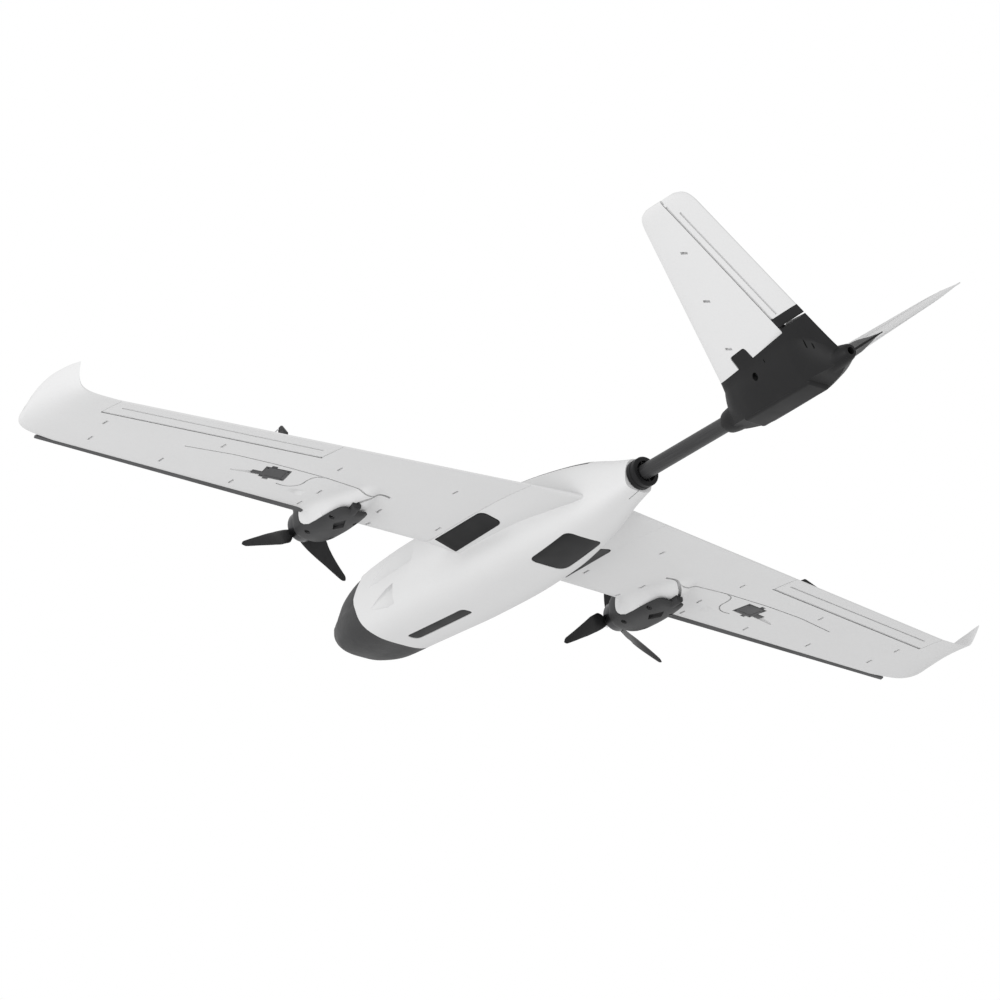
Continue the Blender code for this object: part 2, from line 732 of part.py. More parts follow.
def root_under(x, y):
    """Underside of the filleted centre section at a plan point."""
    xs = (ROOT_PANEL_XS[0], ROOT_PANEL_XS[1])
    t = min(1.0, max(0.0, (x - xs[0]) / (xs[1] - xs[0])))
    drop = FILLET_DROPS[1] + (FILLET_DROPS[2] - FILLET_DROPS[1]) * t
    chord = te_y(x) - le_y(x)
    s = (y - le_y(x)) / chord
    return under_z(x) + section_low(s, chord) - drop * (1 - s) ** 0.4 * min(1.0, s * 9)


def cheek_intake(name, side):
    """Arrow-shaped scoop low on each side of the nose."""
    rings = []
    for y, x, z, half, deep in ((-196.0, 40.5, -2.0, 1.0, 0.6), (-176.0, 39.5, -2.0, 9.0, 4.0),
                                (-166.0, 37.0, -2.0, 12.5, 7.0)):
        rings.append([(px * side, y, pz) for px, pz in
                      ((x + 12, z + half), (x + 12, z - half), (x, z - half * 0.55),
                       (x - deep * 0.2, z), (x, z + half * 0.55))])
    return loft(name, rings)


def deck_cover(name, grow, depth, kind):
    """Cover on the rear deck: a strip of the pod's skin, narrowing aft."""
    y0, y1 = DECK_YS[0] - grow, DECK_YS[1] + grow
    rings = []
    for t in (0.0, 0.25, 0.5, 0.75, 1.0):
        y = y0 + (y1 - y0) * t
        half_width, low, high = pod_at(y)
        centre = low + (high - low) * 0.34
        reach = (30.0 - 15.0 * t) + grow
        ring = []
        lift = 5.0 if kind is None else 0.25
        for k in range(-4, 5):
            x = reach * k / 4
            ratio = min(1.0, abs(x) / half_width)
            z = centre + (high - centre) * (1 - ratio ** SQUARE_ABOVE) ** (1 / SQUARE_ABOVE)
            ring.append((x, y, z + lift))
        under = [(x, y, z - lift - depth) for x, y, z in reversed(ring)]
        rings.append(ring + under)
    return loft(name, rings, kind)


# ---------------------------------------------------------------- centre pieces


def make_centre():
    skid = plate("belly_skid", slot_outline(0.0), 20.0,
                 belly_frame(SLOT_YS, RECESS - GAP - 10.0), "moulding")
    window = plate("belly_window_cover", window_outline(0.0), 20.0,
                   belly_frame(WINDOW_YS, RECESS - GAP - 10.0), "moulding")
    rings = pod_rings(POD, 0.4)
    for piece in (skid, window):
        cut(piece, loft(piece.name + "_skin", rings), "INTERSECT")
    deck_cover("rear_deck_cover", 0.0, 1.6, "strip")
    for side, word in ((1, "left"), (-1, "right")):
        root_panel("wing_root_panel_" + word, side, 0.0, "moulding")

    tube("tail_boom", (0, BOOM_START_Y, BOOM_Z), (0, BOOM_END_Y, BOOM_Z), BOOM_RADIUS, 6.0, "carbon")
    tube("wing_spar", (-SPAR_HALF_LENGTH, SPAR_Y, SPAR_Z), (SPAR_HALF_LENGTH, SPAR_Y, SPAR_Z),
         SPAR_RADIUS, 3.0, "carbon")
    inner = BOOM_RADIUS + GAP
    length = COLLAR_YS[1] - COLLAR_YS[0]
    step = COLLAR_FLANGE[0] - COLLAR_YS[0]
    flange = COLLAR_FLANGE[1]
    turned("boom_collar", [(inner, length), (flange - 1.0, length), (flange, length - 1.0), (flange, step),
                           (COLLAR_RADIUS, step), (COLLAR_RADIUS, 0.0), (inner, 0.0)],
           (0, COLLAR_YS[0], BOOM_Z), (0, 1, 0), "moulding")

    cut(box("equipment_tray", *TRAY, "moulding"), box("payload_pad", *PAYLOAD_PAD), "UNION")
    bevel(box("battery", *BATTERY, "pack"), 3.0)
    box("flight_controller", *CONTROLLER, "board")
    box("receiver", *RECEIVER, "board")


def tube(name, start, end, radius, bore, kind):
    along = (Vector(end) - Vector(start)).length
    axis = Vector(end) - Vector(start)
    turned(name, [(bore, along), (radius, along), (radius, 0.0), (bore, 0.0)], start, axis, kind,
           steps=24)


# ---------------------------------------------------------------- wing pieces


def link_frame(side):
    """Directions of the aileron linkage: along the hinge, across it (aft), and up."""
    (inner, _), (outer, _) = hinge_points(side)
    along = (outer - inner).normalized()
    up = Vector((0, 0, 1))
    aft = up.cross(along) * side
    aft.normalize()
    up = along.cross(aft) * side
    return along, aft, up.normalized()


def on_hinge(side, x):
    (inner, _), (outer, _) = hinge_points(side)
    return inner.lerp(outer, (x - AILERON_IN[0]) / (AILERON_OUT[0] - AILERON_IN[0]))


def link_points(side):
    """Horn pivot, arm pivot and servo shaft centre of one aileron's linkage."""
    along, aft, up = link_frame(side)
    hinge = on_hinge(side, HORN_X)
    horn = hinge + up * LINK_RADIUS
    shaft = hinge - aft * LINK_SPAN
    shaft.z = SERVO_AXIS_Z
    return horn, shaft + up * LINK_RADIUS, shaft


def turn_matrix(side):
    along, aft, up = link_frame(side)
    return Matrix((along * side, aft, up)).transposed()


def servo_box(name, side, grow, kind):
    """Flat servo let into the underside, its shaft parallel to the hinge."""
    along, aft, up = link_frame(side)
    shaft = link_points(side)[2]
    centre = shaft - along * (SERVO_SIZE[0] / 2 + 5.0) - aft * 4.8 - up * 1.0
    half = Vector(SERVO_SIZE) / 2 + Vector((grow, grow, grow))
    return box(name, centre - half, centre + half, kind, turn=turn_matrix(side))


def aileron_prism(name, side, hinge_shift, end_shift, outline_frame):
    (xi, yi), (xo, yo) = AILERON_IN, AILERON_OUT
    inner, outer = xi + end_shift, xo - end_shift * 0.5
    slope = (yo - yi) / (xo - xi)
    points = [(inner, yi + (inner - xi) * slope + hinge_shift),
              (outer, yi + (outer - xi) * slope + hinge_shift), (outer, 140.0), (inner, 140.0)]
    return plate(name, [(x * side, y) for x, y in points], 60.0, outline_frame)


def nacelle_ring(y, half_width, low, high):
    """Section of a nacelle about its own centre line (X = 0)."""
    ring = []
    sides = 20
    centre = (low + high) / 2
    for k in range(sides):
        angle = 2 * math.pi * k / sides
        c, s = math.cos(angle), math.sin(angle)
        power = 0.88 if s > 0 else 0.68
        ring.append((math.copysign(abs(c) ** power, c) * half_width, y,
                     centre + math.copysign(abs(s) ** power, s) * (high - low) / 2))
    return ring


def nacelle_rings(side, inset=0.0, first=0, last=len(NACELLE)):
    rings = []
    for y, half_width, low, high in NACELLE[first:last]:
        ring = nacelle_ring(y, half_width - inset, low + inset, high - inset)
        rings.append([(x + MOTOR_X * side, py, z) for x, py, z in ring])
    return rings


def cover_profile(grow):
    """Side view (Y, Z) of the dark cover: a ring behind the motor and a shallow tray."""
    corner = [(-63.0, 40.0), (-63.0, 2.0), (-61.5, -4.6), (-57.4, -8.4), (-51.0, -10.2),
              (-40.0, -10.6), (-14.0, -9.8), (-3.0, -9.4), (-3.0, -40.0)]
    moved = [(y + grow * 0.7, z + grow * 0.7) for y, z in corner]
    return [(-120.0, 40.0)] + moved + [(-120.0, -40.0)]


def make_wing(side, word):
    wing = loft("wing_" + word, wing_rings(side), "foam", smooth_angle=50.0)
    plan = frame_matrix((0, 0, 10.0), (1, 0, 0), (0, 1, 0))
    (inner, r_in), (outer, r_out) = hinge_points(side)

    form = loft("nacelle_form_" + word, nacelle_rings(side))
    cut(form, side_prism("cover_region_" + word, cover_profile(GAP), 30.0, MOTOR_X * side))
    x = MOTOR_X * side
    cut(form, box("lead_pocket_" + word, (x - 9, -70, -10), (x + 9, -26, -1)))
    cut(wing, form, "UNION")
    cut(wing, aileron_prism("aileron_hole_" + word, side, 0.0, 0.0, plan))
    axis = (outer - inner).normalized()
    cut(wing, rod("aileron_cove_" + word, inner - axis * 0.2, outer + axis * 0.2,
                  r_in + HINGE_CLEARANCE, end_radius=r_out + HINGE_CLEARANCE))
    cut(wing, servo_box("servo_pocket_" + word, side, 0.5, None))
    along, aft, up = link_frame(side)
    shaft = link_points(side)[2]
    cut(wing, rod("boss_bore_" + word, shaft - along * 8.0, shaft, 3.8, sides=16))
    slot_low = shaft - Vector((ARM_SLOT[0], ARM_SLOT[1], ARM_SLOT_DEPTH))
    slot_high = shaft + Vector((ARM_SLOT[0], ARM_SLOT[1], 20.0))
    cut(wing, box("arm_slot_" + word, slot_low, slot_high, turn=turn_matrix(side)))
    cut(wing, rod("wing_spar_bore_" + word, (60 * side, SPAR_Y, SPAR_Z),
                  ((SPAR_HALF_LENGTH + 1) * side, SPAR_Y, SPAR_Z), SPAR_RADIUS + GAP))
    cut(wing, edge_strip("edge_recess_" + word, side, GAP, None))
    edge_strip("leading_edge_strip_" + word, side, 0.0, "strip")


def edge_strip(name, side, grow, kind):
    """Hard strip let into the lower lip of the leading edge, outboard of the nacelle."""
    rings = []
    for x in (EDGE_XS[0] - grow, EDGE_XS[1] + grow):
        chord = te_y(x) - le_y(x)
        z = under_z(x)
        front, back = EDGE_FRACTIONS
        a = (le_y(x) + chord * front, z + section_low(front, chord))
        b = (le_y(x) + chord * back + grow, z + section_low(back, chord) - GAP)
        if kind is None:
            outline = [(a[0] - 3.0, a[1] + grow), (a[0] - 3.0, b[1] - 3.0), (b[0], b[1] - 3.0),
                       (b[0], b[1] + 1.5 + grow), (a[0] + 1.8, a[1] + 0.1 + grow)]
        else:
            outline = [(a[0] - 0.3, a[1]), (le_y(x) + EDGE_LIP[0], z + EDGE_LIP[1]), (b[0], b[1]),
                       (b[0], b[1] + 1.4), (a[0] + 1.8, a[1])]
        rings.append([(x * side, py, pz) for py, pz in outline])
    return loft(name, rings, kind)


def make_aileron(side, word):
    joint = new_empty("aileron_joint_" + word, hinge_points(side)[0][0], datum)
    plan = frame_matrix((0, 0, 10.0), (1, 0, 0), (0, 1, 0))
    (inner, r_in), (outer, r_out) = hinge_points(side)
    axis = (outer - inner).normalized()
    flap = loft("aileron_" + word, [panel_ring(x, side) for x in (WING_JOINT_X, TIP_START_X)],
                "foam", joint, smooth_angle=50.0)
    cut(flap, aileron_prism("aileron_region_" + word, side, 0.0, AILERON_END_GAP, plan), "INTERSECT")
    nose = rod("aileron_nose_" + word, inner + axis * 1.2, outer - axis * 0.8, r_in * 0.97,
               end_radius=r_out * 0.97)
    cut(flap, nose, "UNION")

    along, aft, up = link_frame(side)
    horn, arm_pivot, shaft = link_points(side)
    hinge = on_hinge(side, HORN_X)
    view = frame_matrix(hinge, aft, up)
    surface = 2.6
    outline = [(1.0, surface + 1.5), (17.0, surface - 0.4), (17.4, surface + 1.6),
               (3.4, LINK_RADIUS + 2.6), (-2.6, LINK_RADIUS + 2.6), (-3.0, LINK_RADIUS - 1.6)]
    horn_plate = plate("aileron_horn_" + word, round_corners(outline, 1.2, 2), 1.6, view,
                       "moulding", joint)
    cut(horn_plate, rod("horn_hole_" + word, horn - along * 3, horn + along * 3, 0.9, sides=12))

    body = servo_box("aileron_servo_" + word, side, 0.0, "servo")
    boss = rod("servo_boss_" + word, shaft - along * 8.0, shaft - along * 1.6, 3.4, sides=16)
    cut(body, boss, "UNION")

    arm_joint = new_empty("servo_arm_joint_" + word, shaft, datum)
    arm_view = frame_matrix(shaft, aft, up)
    r = LINK_RADIUS
    arm_outline = [(-3.2, -3.0), (3.2, -3.0), (1.9, r + 1.8), (-1.9, r + 1.8)]
    arm = plate("servo_arm_" + word, round_corners(arm_outline, 2.2, 3), 1.5, arm_view, "nylon",
                arm_joint)
    cut(arm, rod("arm_hole_" + word, arm_pivot - along * 3, arm_pivot + along * 3, 0.9, sides=12))

    rod_joint = new_empty("pushrod_joint_" + word, arm_pivot, arm_joint)
    side_step = along * 1.9
    points = [arm_pivot - along * 0.9, arm_pivot + side_step, arm_pivot + side_step + aft * 3,
              horn + side_step - aft * 3, horn + side_step, horn - along * 0.9]
    wire("aileron_pushrod_" + word, points, 0.55, "steel", rod_joint)


def wire(name, points, radius, kind, parent):
    curve = bpy.data.curves.new(name, "CURVE")
    curve.dimensions = "3D"
    curve.bevel_depth = radius * MM
    curve.bevel_resolution = 2
    curve.use_fill_caps = True
    spline = curve.splines.new("POLY")
    spline.points.add(len(points) - 1)
    for spot, point in zip(spline.points, points):
        spot.co = (*(Vector(point) * MM), 1.0)
    return add_object_curve(name, curve, kind, parent)


def add_object_curve(name, curve, kind, parent):
    made = bpy.data.objects.new(name, curve)
    parts.objects.link(made)
    curve.materials.append(material(name, kind))
    made.parent = parent
    made.location = -frame_point(parent) * MM
    return made


# ---------------------------------------------------------------- power units


def make_power_unit(side, word):
    x = MOTOR_X * side
    forward = Vector((0, -1, 0))
    body = nacelle_rings(side)
    cover = loft("nacelle_cover_" + word, body, "moulding")
    cut(cover, side_prism("cover_keep_" + word, cover_profile(0.0), 30.0, x), "INTERSECT")
    cut(cover, loft("cover_inside_" + word, cover_inside(side)))
    for sx in (-COVER_SCREW_HALF, COVER_SCREW_HALF):
        for y in COVER_SCREW_YS:
            cut(cover, rod("cover_screw_hole_%s_%d_%d" % (word, sx, y), (x + sx, y, -30),
                           (x + sx, y, -8.9), COVER_SCREW_RADIUS, sides=12))
    under = frame_matrix((x, 0, -14.0), (1, 0, 0), (0, 1, 0))
    diamond = [(u * side, v) for u, v in COVER_VENT]
    cut(cover, plate("cover_vent_" + word, diamond, 12.0, under))

    mount = turned("motor_mount_" + word, [(3.2, 3.4), (13.0, 3.4), (13.0, 2.6), (15.2, 2.6),
                                           (15.2, 0.0), (3.2, 0.0)],
                   (x, FIREWALL_Y + 3.2, THRUST_Z), forward, "moulding", steps=24)
    turned("motor_stator_" + word, STATOR_PROFILE, (x, FIREWALL_Y - 0.7, THRUST_Z), forward,
           "copper", steps=24)
    spin = new_empty("propeller_joint_" + word, (x, PROP_Y, THRUST_Z), datum)
    turned("motor_bell_" + word, BELL_PROFILE, (x, FIREWALL_Y, THRUST_Z), forward, "motor", spin,
           steps=28)
    make_propeller(side, word, spin)
    turned("prop_nut_" + word, [(3.0, 6.4), (3.6, 6.4), (4.8, 5.2), (4.8, 0.0), (3.0, 0.0)],
           (x, PROP_Y - 3.6, THRUST_Z), forward, "steel", spin, steps=6)
    box("esc_" + word, (x - ESC_HALF, *ESC_YZ[0]), (x + ESC_HALF, *ESC_YZ[1]), "board")


def cover_inside(side):
    rings = nacelle_rings(side, 1.8)
    front = [(x, FIREWALL_Y - 2.0, z) for x, y, z in rings[0]]
    return [front] + rings


def make_propeller(side, word, spin):
    x = MOTOR_X * side
    forward = Vector((0, -1, 0))
    hub = turned("propeller_" + word, [(2.7, 3.2), (5.6, 3.2), (6.6, 2.2), (6.6, -3.2), (2.7, -3.2)],
                 (x, PROP_Y, THRUST_Z), forward, "propeller", spin, steps=24)
    for k in range(BLADES):
        angle = math.radians(90.0 + PROP_PHASE + 360.0 / BLADES * k)
        cut(hub, loft("blade_%s_%d" % (word, k), blade_rings(side, angle)), "UNION")


def blade_rings(side, angle):
    """Twisted blade about the propeller centre; the right one is the left's mirror image."""
    radial = Vector((math.cos(angle), 0, math.sin(angle)))
    around = Vector((-math.sin(angle), 0, math.cos(angle)))
    forward = Vector((0, -1, 0))
    centre = Vector((MOTOR_X, PROP_Y, THRUST_Z))
    rings = []
    for radius, lead, trail, thickness in BLADE:
        pitch = min(ROOT_PITCH, math.atan2(PROP_PITCH, 2 * math.pi * radius))
        along = around * math.cos(pitch) + forward * math.sin(pitch)
        off = radial.cross(along)
        ring = []
        for u, v in BLADE_SECTION:
            p = centre + radial * radius + along * (trail + u * (lead - trail)) + off * (v * thickness)
            ring.append((p.x * side, p.y, p.z))
        rings.append(ring)
    return rings


# ---------------------------------------------------------------- tail pieces


def housing_form(name, kind, parent=None):
    """Hub, two arms and keel as one solid."""
    skin = [(radius, -y) for y, radius in HOUSING_HUB]
    core = [(0.01, -HOUSING_HUB[-1][0]), (0.01, -HOUSING_HUB[0][0])]
    hub = turned(name, skin + core, (0, 0, BOOM_Z), (0, -1, 0), kind, parent, steps=24)
    keel = box(name + "_keel", *KEEL)
    bevel(keel, 4.0, 2)
    cut(hub, keel, "UNION")
    for side in (1, -1):
        arm = loft(name + "_arm_" + str(side), arm_rings(side))
        root = tail_prism(name + "_root_" + str(side),
                          [(-5.0, 290.0)] + root_line(0.0) + [(-5.0, 500.0)], 60.0, side)
        cut(arm, root, "INTERSECT")
        cut(hub, arm, "UNION")
    cut(hub, loft(name + "_belly", [belly_ring(*row) for row in BELLY]), "UNION")
    return hub


def arm_at(s):
    """Leading edge, trailing edge and scale of the half depth at a distance up an arm."""
    for a, b in zip(ARM, ARM[1:]):
        if s <= b[0]:
            t = (s - a[0]) / (b[0] - a[0])
            return [a[i] + (b[i] - a[i]) * t for i in (1, 2, 3)]
    return list(ARM[-1][1:])


def arm_half_depth(s, y):
    front, back, scale = arm_at(s)
    fraction = min(1.0, max(0.0, (y - front) / (back - front)))
    for (f0, d0), (f1, d1) in zip(ARM_SECTION, ARM_SECTION[1:]):
        if fraction <= f1:
            return (d0 + (d1 - d0) * (fraction - f0) / (f1 - f0)) * scale
    return ARM_SECTION[-1][1] * scale


def belly_ring(y, bottom, half_width, reach):
    """Section of the housing's belly; each point pairs with its mirror image."""
    out = arm_half_depth(reach, y) - 0.4
    foot = Vector((half_width, y, bottom))
    tip = tail_point(reach, y, -out, 1)
    inner = tail_point(reach * 0.8, y, -min(out, 1.5), 1)
    outward = Vector((0.75, 0, -0.6)).normalized()
    port = []
    for t in (0.0, 0.25, 0.5, 0.75, 1.0):
        port.append(foot.lerp(tip, t) + outward * BELLY_BULGE * 4 * t * (1 - t) * reach / 40)
    port.append(inner)
    port.append(Vector((1.0, y, TAIL_APEX_Z - 1.0)))
    return port + [Vector((-p.x, p.y, p.z)) for p in reversed(port)]


def root_line(shift):
    """Edge between housing and foam up a panel, front to back, with the tab and the cap's notch."""
    (s0, y0), (s1, y1) = TAIL_ROOT_LINE
    slope = (s1 - s0) / (y1 - y0)
    (tab_front, tab_back), tab_s = TAIL_TAB
    line = [(s0 + (y - y0) * slope + shift, y)
            for y in (290.0, tab_front - shift, tab_back + shift, y1)]
    tab = [(tab_s + shift, tab_front + 0.5 - shift), (tab_s + 1.5 + shift, tab_back - 1.5 + shift)]
    return line[:2] + tab + line[2:] + [(CAP_ROOT_S - 1.6, 438.6), (CAP_ROOT_S - 1.4, 500.0)]


def arm_rings(side):
    rings = []
    for s, front, back, scale in ARM:
        upper = [tail_point(s, front + (back - front) * f, half * scale, side)
                 for f, half in reversed(ARM_SECTION)]
        lower = [tail_point(s, front + (back - front) * f, -half * scale, side)
                 for f, half in ARM_SECTION]
        rings.append(upper + lower)
    return rings


def upper_half(name, shift):
    """Everything above the V of the two panels' mid planes."""
    reach = 120.0
    z = TAIL_APEX_Z + shift
    rise = math.tan(TAIL_ANGLE) * reach
    outline = [(0.0, z), (reach, z + rise), (reach, 200.0), (-reach, 200.0), (-reach, z + rise)]
    return plate(name, outline, 300.0, frame_matrix((0, 390, 0), (1, 0, 0), (0, 0, 1)))


def make_tail_housing():
    halves = (("lower", "DIFFERENCE", -GAP / 2), ("upper", "INTERSECT", GAP / 2))
    for word, operation, shift in halves:
        half = housing_form("tail_housing_" + word, "moulding")
        cut(half, rod("boom_socket_" + word, (0, 290, BOOM_Z), (0, BOOM_END_Y + GAP, BOOM_Z),
                      BOOM_RADIUS + GAP))
        cut(half, rod("drain_" + word, (0, 400, BOOM_Z), (0, 490, BOOM_Z), DRAIN_RADIUS))
        for side in (1, -1):
            cut(half, arm_pocket("arm_pocket_%s_%d" % (word, side), side))
            cut(half, servo_pocket("tail_pocket_%s_%d" % (word, side), side))
            cut(half, shaft_bore("shaft_bore_%s_%d" % (word, side), side, SHAFT_RADIUS + 0.4))
        cut(half, upper_half("parting_" + word, shift), operation)
    for side in (1, -1):
        outer, inner = [tail_point(*TAIL_SCREW, -depth, side) for depth in (20.0, 6.0)]
        cut(bpy.data.objects["tail_housing_lower"],
            rod("tail_screw_hole_" + str(side), outer, inner, TAIL_SCREW_RADIUS, sides=16))


def arm_pocket(name, side):
    rings = [tail_ring(s, tail_front(s) + 12.0, 415.6, 9.2, side) for s in (20.0, 70.0)]
    return loft(name, rings)


def servo_pocket(name, side):
    low, high = TAIL_SERVO_S
    half_chord, half_height = TAIL_SERVO_HALF
    return tail_box(name, side, low - GAP, high + GAP, half_chord + GAP, half_height + GAP)


def shaft_bore(name, side, radius):
    """Round passage on the hinge axis, from inside the tail servo out past the housing."""
    inner, outer = tail_axis(side)
    axis = (outer - inner).normalized()
    return rod(name, inner - axis * 14.0, inner + axis * 3.0, radius, sides=16)


def tail_box(name, side, low, high, half_chord, half_depth_mm, kind=None):
    """A box up the panel, centred on the hinge line's inward run."""
    rings = []
    for s in (low, high):
        y = tail_hinge(TAIL_HINGE_IN[0])
        rings.append([tail_point(s, y + dy, dz, side) for dy, dz in
                      ((-half_chord, -half_depth_mm), (half_chord, -half_depth_mm),
                       (half_chord, half_depth_mm), (-half_chord, half_depth_mm))])
    return loft(name, rings, kind)


def make_tail_panel(side, word):
    joint = new_empty("ruddervator_joint_" + word, tail_axis(side)[0], datum)
    fin = loft("fin_" + word, fin_rings(side, 28.0), "foam", smooth_angle=50.0)
    hinge = [(s, tail_hinge(s)) for s in (0.0, 210.0)]
    fixed = [(0.0, 280.0), (210.0, 280.0), (210.0, hinge[1][1]), (0.0, hinge[0][1])]
    cut(fin, tail_prism("fin_region_" + word, fixed, 60.0, side), "INTERSECT")
    cut(fin, cone_on_hinge("fin_cove_" + word, side, HINGE_CLEARANCE, 40.0, 200.0))
    tenon_cut = [(-5.0, 290.0)] + root_line(GAP) + [(-5.0, 500.0)]
    root = tail_prism("fin_root_" + word, tenon_cut, 60.0, side)
    cut(fin, root)
    tenon = [tail_ring(s, tail_front(s) + 12.6, 414.8, 8.4, side) for s in (21.0, 70.0)]
    cut(fin, loft("fin_tenon_" + word, tenon), "UNION")

    rudder = loft("ruddervator_" + word, fin_rings(side, RUDDER_ROOT_S), "foam", joint,
                  smooth_angle=50.0)
    moving = [(0.0, hinge[0][1]), (210.0, hinge[1][1]), (210.0, 500.0), (0.0, 500.0)]
    cut(rudder, tail_prism("rudder_region_" + word, moving, 60.0, side), "INTERSECT")
    cut(rudder, cone_on_hinge("rudder_nose_" + word, side, -0.12, RUDDER_ROOT_S + 0.2, 191.0), "UNION")

    cap_rings = [tail_ring(s, tail_front(s), tail_back(s) + 0.3, tail_depth(s) + 0.6, side)
                 for s in (CAP_ROOT_S, RUDDER_ROOT_S - GAP)]
    cap = loft("ruddervator_cap_" + word, cap_rings, "moulding", joint)
    cut(cap, tail_prism("cap_region_" + word, moving, 60.0, side), "INTERSECT")
    nose = cone_on_hinge("cap_nose_" + word, side, 0.1, CAP_ROOT_S + 0.2, RUDDER_ROOT_S - GAP - 0.2)
    cut(cap, nose, "UNION")
    inner, outer = tail_axis(side)
    axis = (outer - inner).normalized()
    shaft = rod("cap_shaft_" + word, inner - axis * 12.0, inner + axis * 0.5, SHAFT_RADIUS, sides=16)
    cut(cap, shaft, "UNION")

    servo = tail_box("tail_servo_" + word, side, TAIL_SERVO_S[0], TAIL_SERVO_S[1],
                     TAIL_SERVO_HALF[0], TAIL_SERVO_HALF[1], "servo")
    cut(servo, shaft_bore("servo_spline_hole_" + word, side, SHAFT_RADIUS + GAP))


def tail_axis(side):
    s0, s1 = CAP_ROOT_S, TAIL_HINGE_OUT[0]
    return tail_point(s0, tail_hinge(s0), 0, side), tail_point(s1, tail_hinge(s1), 0, side)


def cone_on_hinge(name, side, grow, low, high):
    a = tail_point(low, tail_hinge(low), 0, side)
    b = tail_point(high, tail_hinge(high), 0, side)
    return rod(name, a, b, tail_half_depth_at_hinge(low) + grow,
               end_radius=tail_half_depth_at_hinge(high) + grow, sides=20)


# ---------------------------------------------------------------- build

clear_scene()
parts = new_collection("v_tail_aeroplane")
cutters = new_collection("cutters")
datum = bpy.data.objects.new("datum", None)
parts.objects.link(datum)
datum.location = DATUM * MM
hatch_joint = new_empty("hatch_joint", (0, -115, 50), datum)

make_fuselage()
make_centre()
for side, word in ((1, "left"), (-1, "right")):
    make_wing(side, word)
    make_aileron(side, word)
    make_power_unit(side, word)
    make_tail_panel(side, word)
make_tail_housing()
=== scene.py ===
"""Looks of a twin-motor V-tail foam model aeroplane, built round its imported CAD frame.

Dimensions are millimetres in the airframe's own frame: X to port, Y aft, Z up, X = 0 on the
plane of symmetry and Z = 0 on the wing's chord plane at the root. place() moves a point of it
to the frame's metres. Port pieces are built and their mirror images made from them.
"""

import math

import bmesh
import bpy
from mathutils import Matrix, Vector


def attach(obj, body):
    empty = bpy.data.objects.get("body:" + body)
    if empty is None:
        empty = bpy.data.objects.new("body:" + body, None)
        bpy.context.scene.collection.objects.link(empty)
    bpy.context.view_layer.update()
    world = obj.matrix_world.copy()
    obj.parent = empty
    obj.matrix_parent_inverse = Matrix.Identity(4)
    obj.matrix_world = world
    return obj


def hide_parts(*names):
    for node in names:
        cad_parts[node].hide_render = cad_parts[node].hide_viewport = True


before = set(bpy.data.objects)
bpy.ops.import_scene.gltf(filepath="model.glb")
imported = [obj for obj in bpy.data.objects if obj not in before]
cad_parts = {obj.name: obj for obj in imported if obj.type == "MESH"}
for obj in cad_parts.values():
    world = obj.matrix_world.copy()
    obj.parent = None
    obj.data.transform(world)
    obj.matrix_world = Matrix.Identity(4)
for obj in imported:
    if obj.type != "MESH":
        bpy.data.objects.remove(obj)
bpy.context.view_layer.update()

MM = 0.001
GAP = 0.3
WALL = 9.0
DATUM = Vector((0.0, -100.8, 37.4))
# Edges sharper than these angles are not shaded smooth: most pieces, and the thin foam panels.
SMOOTH_ANGLE = 32.0
WELD = 0.005
# Greatest share of a side that a rounded corner takes.
CORNER_SHARE = 0.45
PANEL_ANGLE = 50.0

# Wing planform.
WING_JOINT_X = 73.0
TIP_START_X = 446.0
LE_ROOT_Y = -44.0
LE_SLOPE = -0.052
TE_ROOT_Y = 137.0
TE_SLOPE = -0.2085
DIHEDRAL_ROOT_Z = -4.2
DIHEDRAL_SLOPE = 0.0214
WING_THICKNESS = 0.108
NOSE_RISE = 0.034
TE_DROOP = 0.033
TE_EDGE = 1.4

# Aileron: ends and hinge line.
AILERON_IN = (244.5, 53.1)
AILERON_OUT = (444.7, 13.7)
AILERON_END_GAP = 1.0
HINGE_CLEARANCE = 0.4
# Pressed crease under the aileron, as plan points.
AILERON_CREASE = ((435.3, 31.8), (253.0, 67.2))

# Power units.
MOTOR_X = 172.3
THRUST_Z = 5.7
PROP_Y = -97.5
PROP_RADIUS = 63.5
PROP_PITCH = 109.0
PROP_PHASE = 4.2
ROOT_PITCH = math.radians(36.0)
BLADES = 3
MOTOR_RADIUS = 14.0
FIREWALL_Y = -77.0
COVER_SCREW_HALF = 12.5
COVER_SCREW_YS = (-60.5, -22.0)
COVER_SCREW_RADIUS = 2.6
COVER_FLOOR_Z = -11.5
COVER_VENT = ((-0.5, -40.0), (6.0, -29.0), (1.0, -17.0), (-6.0, -31.0))
# Plan of the cover about the motor's line, square in front and rounded at the rear.
COVER_PLAN = ((-30.0, -90.0), (30.0, -90.0), (30.0, -44.0), (17.0, -10.0), (11.0, -1.6), (-11.0, -1.6),
              (-17.0, -10.0), (-30.0, -44.0))
# Round boss at the cover's rear, where the motor's leads go into the wing: ends and radius.
LEAD_BOSS = (Vector((MOTOR_X + 1.6, -7.0, -10.8)), Vector((MOTOR_X + 3.0, 3.6, -9.0)), 4.2)

# Spar and boom tubes.
SPAR_Y = 14.0
SPAR_Z = 7.0
SPAR_RADIUS = 4.0
SPAR_HALF_LENGTH = 235.0
BOOM_RADIUS = 7.0
BOOM_Z = -1.6
BOOM_START_Y = 118.0
BOOM_END_Y = 470.0
COLLAR_RADIUS = 12.0
COLLAR_FLANGE = (180.4, 13.6)
COLLAR_YS = (169.5, 192.0)

